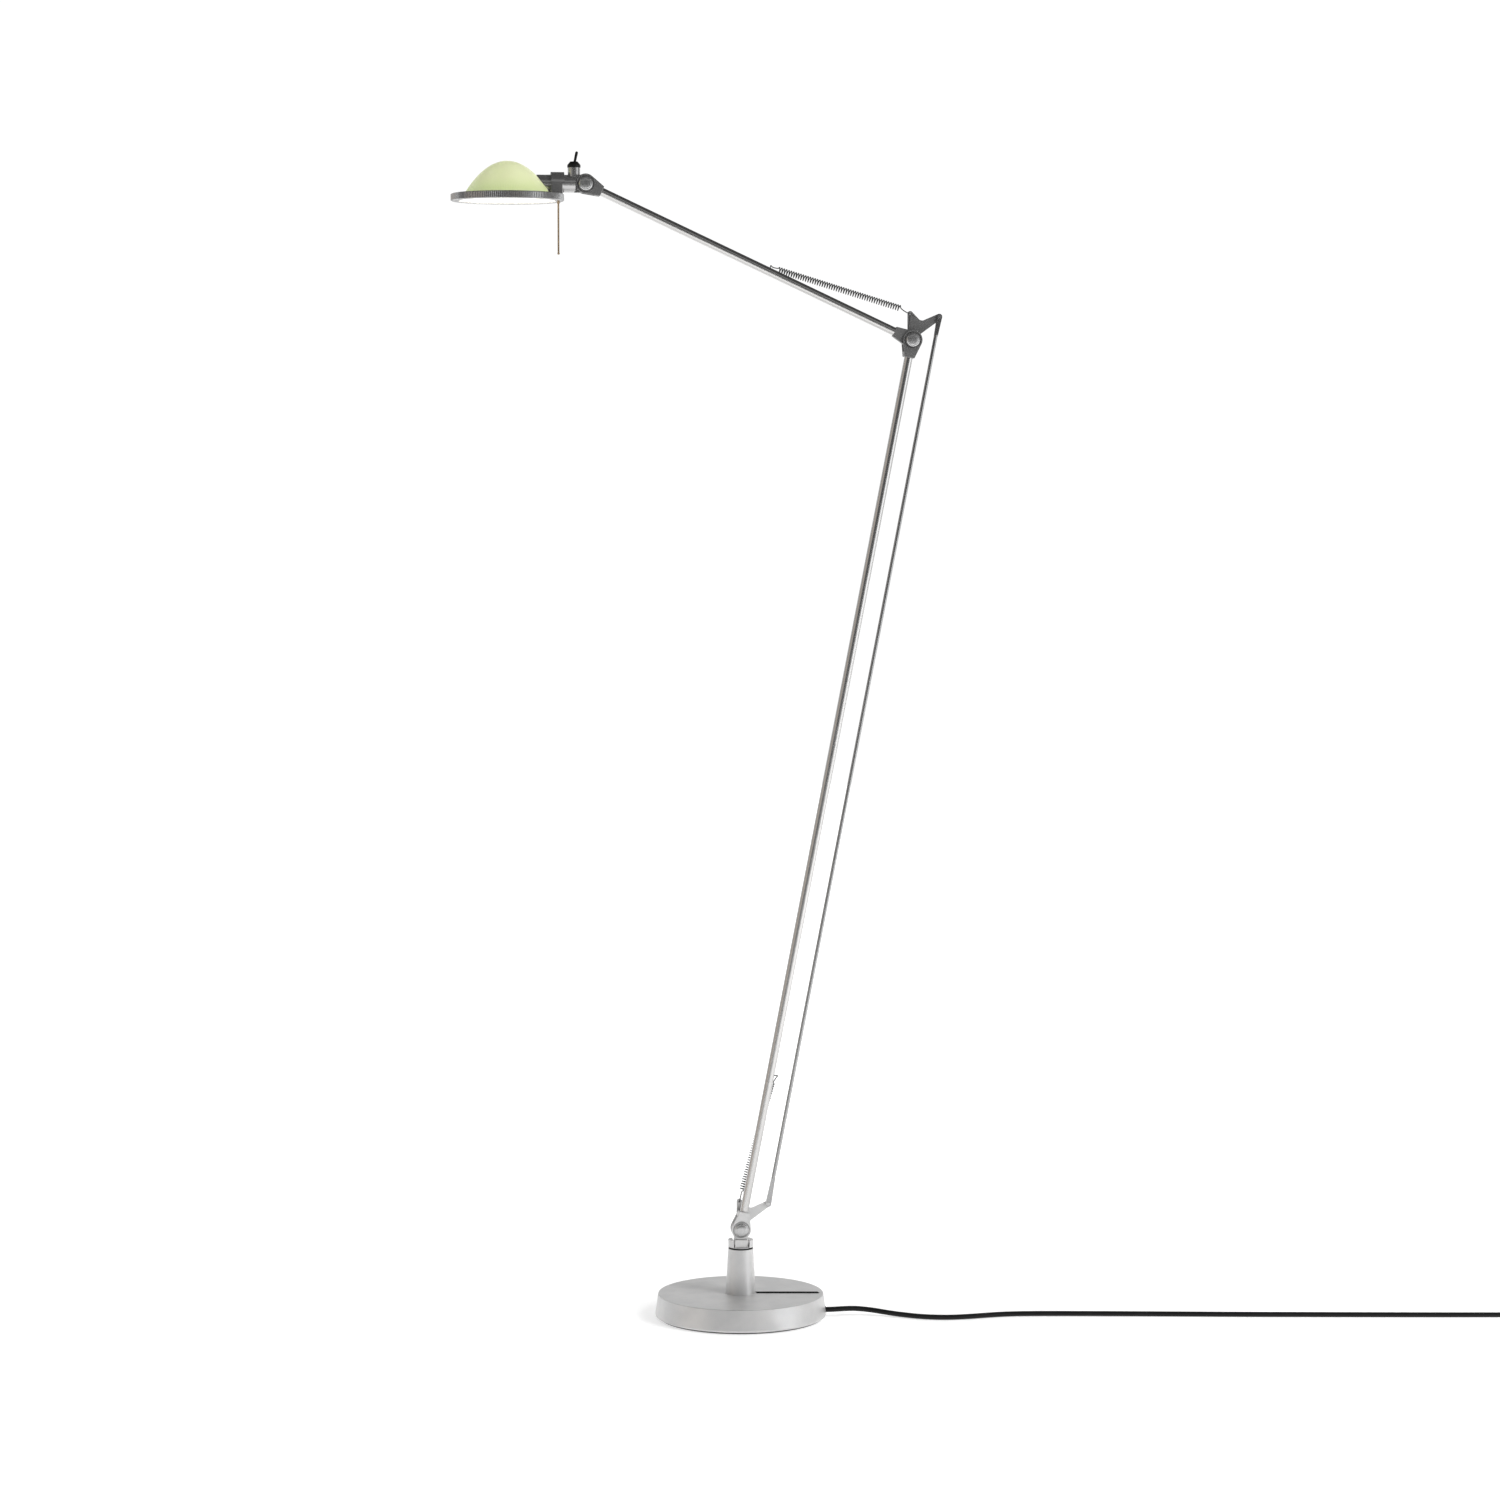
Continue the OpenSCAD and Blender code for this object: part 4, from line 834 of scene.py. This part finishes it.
def makeDomeShell():
    low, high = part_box("dome")
    wall = domeSettings["wall"]
    footR = halfWidth("dome")
    steps, around = domeSettings["rings"], domeSettings["around"]
    shape = bmesh.new()
    feet = []
    for inset in (0, wall):
        top = high[2] - inset
        height = top - low[2]
        rings = []
        for i in range(1, steps + 1):
            t = (i / steps) ** domeSettings["crowding"]
            radius = (footR - inset) * domeShare(t)
            rings.append(addRing(shape, Vector((headCentre.x, headCentre.y, top - height * t)), radius,
                                 (0, 0, 1), around))
        crown = shape.verts.new((headCentre.x, headCentre.y, top))
        for k in range(around):
            shape.faces.new((crown, rings[0][k], rings[0][(k + 1) % around]))
        for one, two in zip(rings, rings[1:]):
            for k in range(around):
                shape.faces.new((one[k], two[k], two[(k + 1) % around], one[(k + 1) % around]))
        feet.append(rings[-1])
    for k in range(around):
        shape.faces.new((feet[0][k], feet[1][k], feet[1][(k + 1) % around], feet[0][(k + 1) % around]))
    return pieceFrom("glassDome", meshFrom("glassDome", shape))


def makeNotchCutter():
    # round over the head tube and open downwards
    radius = halfWidth("head_tube") + domeSettings["notchGap"]
    depth = domeSettings["notchDepth"]
    outline = [(radius * math.cos(a), radius * math.sin(a))
               for a in (math.pi * k / 24 for k in range(25))]
    outline += [(-radius, -depth), (radius, -depth)]
    shape = bmesh.new()
    ends = [[shape.verts.new((headCentre.x + x, y, headCentre.z + z)) for y, z in outline]
            for x in domeSettings["notchReach"]]
    count = len(outline)
    for k in range(count):
        shape.faces.new((ends[0][k], ends[0][(k + 1) % count], ends[1][(k + 1) % count], ends[1][k]))
    shape.faces.new(ends[0])
    shape.faces.new(ends[1])
    return pieceFrom("domeNotch", meshFrom("domeNotch", shape, False))


def makeDome():
    dome = makeDomeShell()
    cutter = makeNotchCutter()
    notch = dome.modifiers.new("notch", "BOOLEAN")
    notch.object = cutter
    notch.solver = "EXACT"
    made = bpy.data.meshes.new_from_object(dome.evaluated_get(bpy.context.evaluated_depsgraph_get()))
    dome.modifiers.clear()
    dome.data = made
    bpy.data.objects.remove(cutter)
    dress(dome, domeGlass)
    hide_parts("dome")
    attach(dome, "head")


makeDome()
print("dome blown")

stageSettings = {
    "floor": 0.5,
    "floorGlow": 0.92,                     # keeps the paper white under soft light
    "floorShadedNear": 0.6,                      # share of that glow left round the base: painted shade there, under which the cast shadows show
    "wallGlow": 1.02,
    "world": 0.36,
    "side": 14,                            # the room: to each side, to the front, back and top
    "front": -9,
    "back": 8,
    "top": 9,
    "below": 0.0005,                       # the paper lies this far under the felt
    "lights": {                            # place, aim, size, power
        "keyLight": ((2.6, -2.2, 3.2), (0, 0, 0.6), (1.8, 1.8), 170),
        "sideLight": ((-3.2, -1.0, 2.2), (0, 0, 0.8), (1.2, 2.6), 8),
        "topLight": ((0.2, 0.8, 3.6), (0, 0.2, 0), (2.6, 2.6), 10),
    },
    "cards": {                             # place, aim, size, level, warmth, seen only in reflections
        "frontCard": ((-0.75, -6.4, 1.95), (0, 0, 1.0), (8.4, 3.3), 0.10, 0),
        "lowCard": ((-0.5, -4.7, 0.02), (-0.5, -4.7, 1.0), (5.6, 3.6), 0.3, 0),
        "highCard": ((-0.2, 0.6, 3.9), (-0.2, 0.6, 0), (5.0, 8.0), 0.06, 0),
        "backCard": ((0, 5.5, 1.6), (0, 0, 1.6), (12.0, 4.6), 0.62, 0),
        "rightCard": ((3.7, -2.3, 0.95), (0, 0, 0.95), (2.2, 1.9), 1.8, -0.02),
        "leftCard": ((-6.0, -1.6, 1.6), (0, 0, 1.2), (5.0, 4.4), 0.55, 0.12),
    },
}


def paperFinish(name, level, glow, warm=0.0, shadedNear=1.0):
    # the last argument is the share of the glow that is left round the middle, which paints shade there
    finish = Finish(name, Roughness=0.9, Emission_Strength=glow)
    at = finish.place()
    haze = finish.noise(at, 3, 2)
    away = finish.node("ShaderNodeVectorMath", {"operation": "LENGTH"}, {0: at}, 1)
    finish.set("Base Color", finish.blendColours(haze, grey(level), grey(level * 1.015)))
    # painted shade: the glow is weaker round the middle
    finish.set("Emission Color", finish.blendColours(
        away.above(0.2, 1.3), grey(shadedNear, warm), grey(1.0, warm)))
    return finish


def makeSheet(name, corners, finish):
    shape = bmesh.new()
    shape.faces.new([shape.verts.new(corner) for corner in corners])
    sheet = pieceFrom(name, meshFrom(name, shape))
    dress(sheet, finish)
    return sheet


def makeCard(name, place, aim, size, level, warm):
    # a big card that only shows in polished metal
    corners = [(x * size[0] / 2, y * size[1] / 2, 0) for x, y in ((-1, -1), (1, -1), (1, 1), (-1, 1))]
    card = makeSheet(name, corners, paperFinish(name, 0.0, level, warm))
    card.location = place
    card.rotation_euler = (Vector(aim) - Vector(place)).to_track_quat("Z", "Y").to_euler()
    card.visible_camera = False
    card.visible_diffuse = False
    card.visible_transmission = False
    card.visible_shadow = False


def makeLight(name, place, aim, size, power):
    data = bpy.data.lights.new(name, "AREA")
    data.energy = power
    data.shape = "RECTANGLE"
    data.size, data.size_y = size
    light = bpy.data.objects.new(name, data)
    light.visible_glossy = False
    light.location = place
    light.rotation_euler = (Vector(aim) - Vector(place)).to_track_quat("-Z", "Y").to_euler()
    bpy.context.collection.objects.link(light)


def makeStudio():
    side, front, back = stageSettings["side"], stageSettings["front"], stageSettings["back"]
    top, below = stageSettings["top"], -stageSettings["below"]
    makeSheet("studioFloor", [(-side, front, below), (side, front, below),
                              (side, back, below), (-side, back, below)],
              paperFinish("studioPaper", stageSettings["floor"], stageSettings["floorGlow"],
                          shadedNear=stageSettings["floorShadedNear"]))
    makeSheet("studioWall", [(-side, back, -1), (side, back, -1), (side, back, top), (-side, back, top)],
              paperFinish("studioWall", 0.0, stageSettings["wallGlow"]))
    for name, x, y in (("leftWall", (-side, -side), (front, back)),
                       ("rightWall", (side, side), (front, back)),
                       ("frontWall", (-side, side), (front, front))):
        corners = [(x[0], y[0], below), (x[1], y[1], below), (x[1], y[1], top), (x[0], y[0], top)]
        wall = makeSheet(name, corners, paperFinish(name, 0.0, stageSettings["wallGlow"]))
        wall.visible_diffuse = wall.visible_glossy = False     # only seen, never lighting the lamp
        wall.visible_transmission = wall.visible_shadow = False
    for name, card in stageSettings["cards"].items():
        makeCard(name, *card)
    for name, light in stageSettings["lights"].items():
        makeLight(name, *light)
    world = bpy.data.worlds.new("studio")
    bpy.context.scene.world = world
    world.use_nodes = True
    background = world.node_tree.nodes["Background"]
    background.inputs["Color"].default_value = (1, 1, 1, 1)
    background.inputs["Strength"].default_value = stageSettings["world"]
    bpy.context.scene.view_settings.view_transform = "Standard"


makeStudio()
print("studio lit")
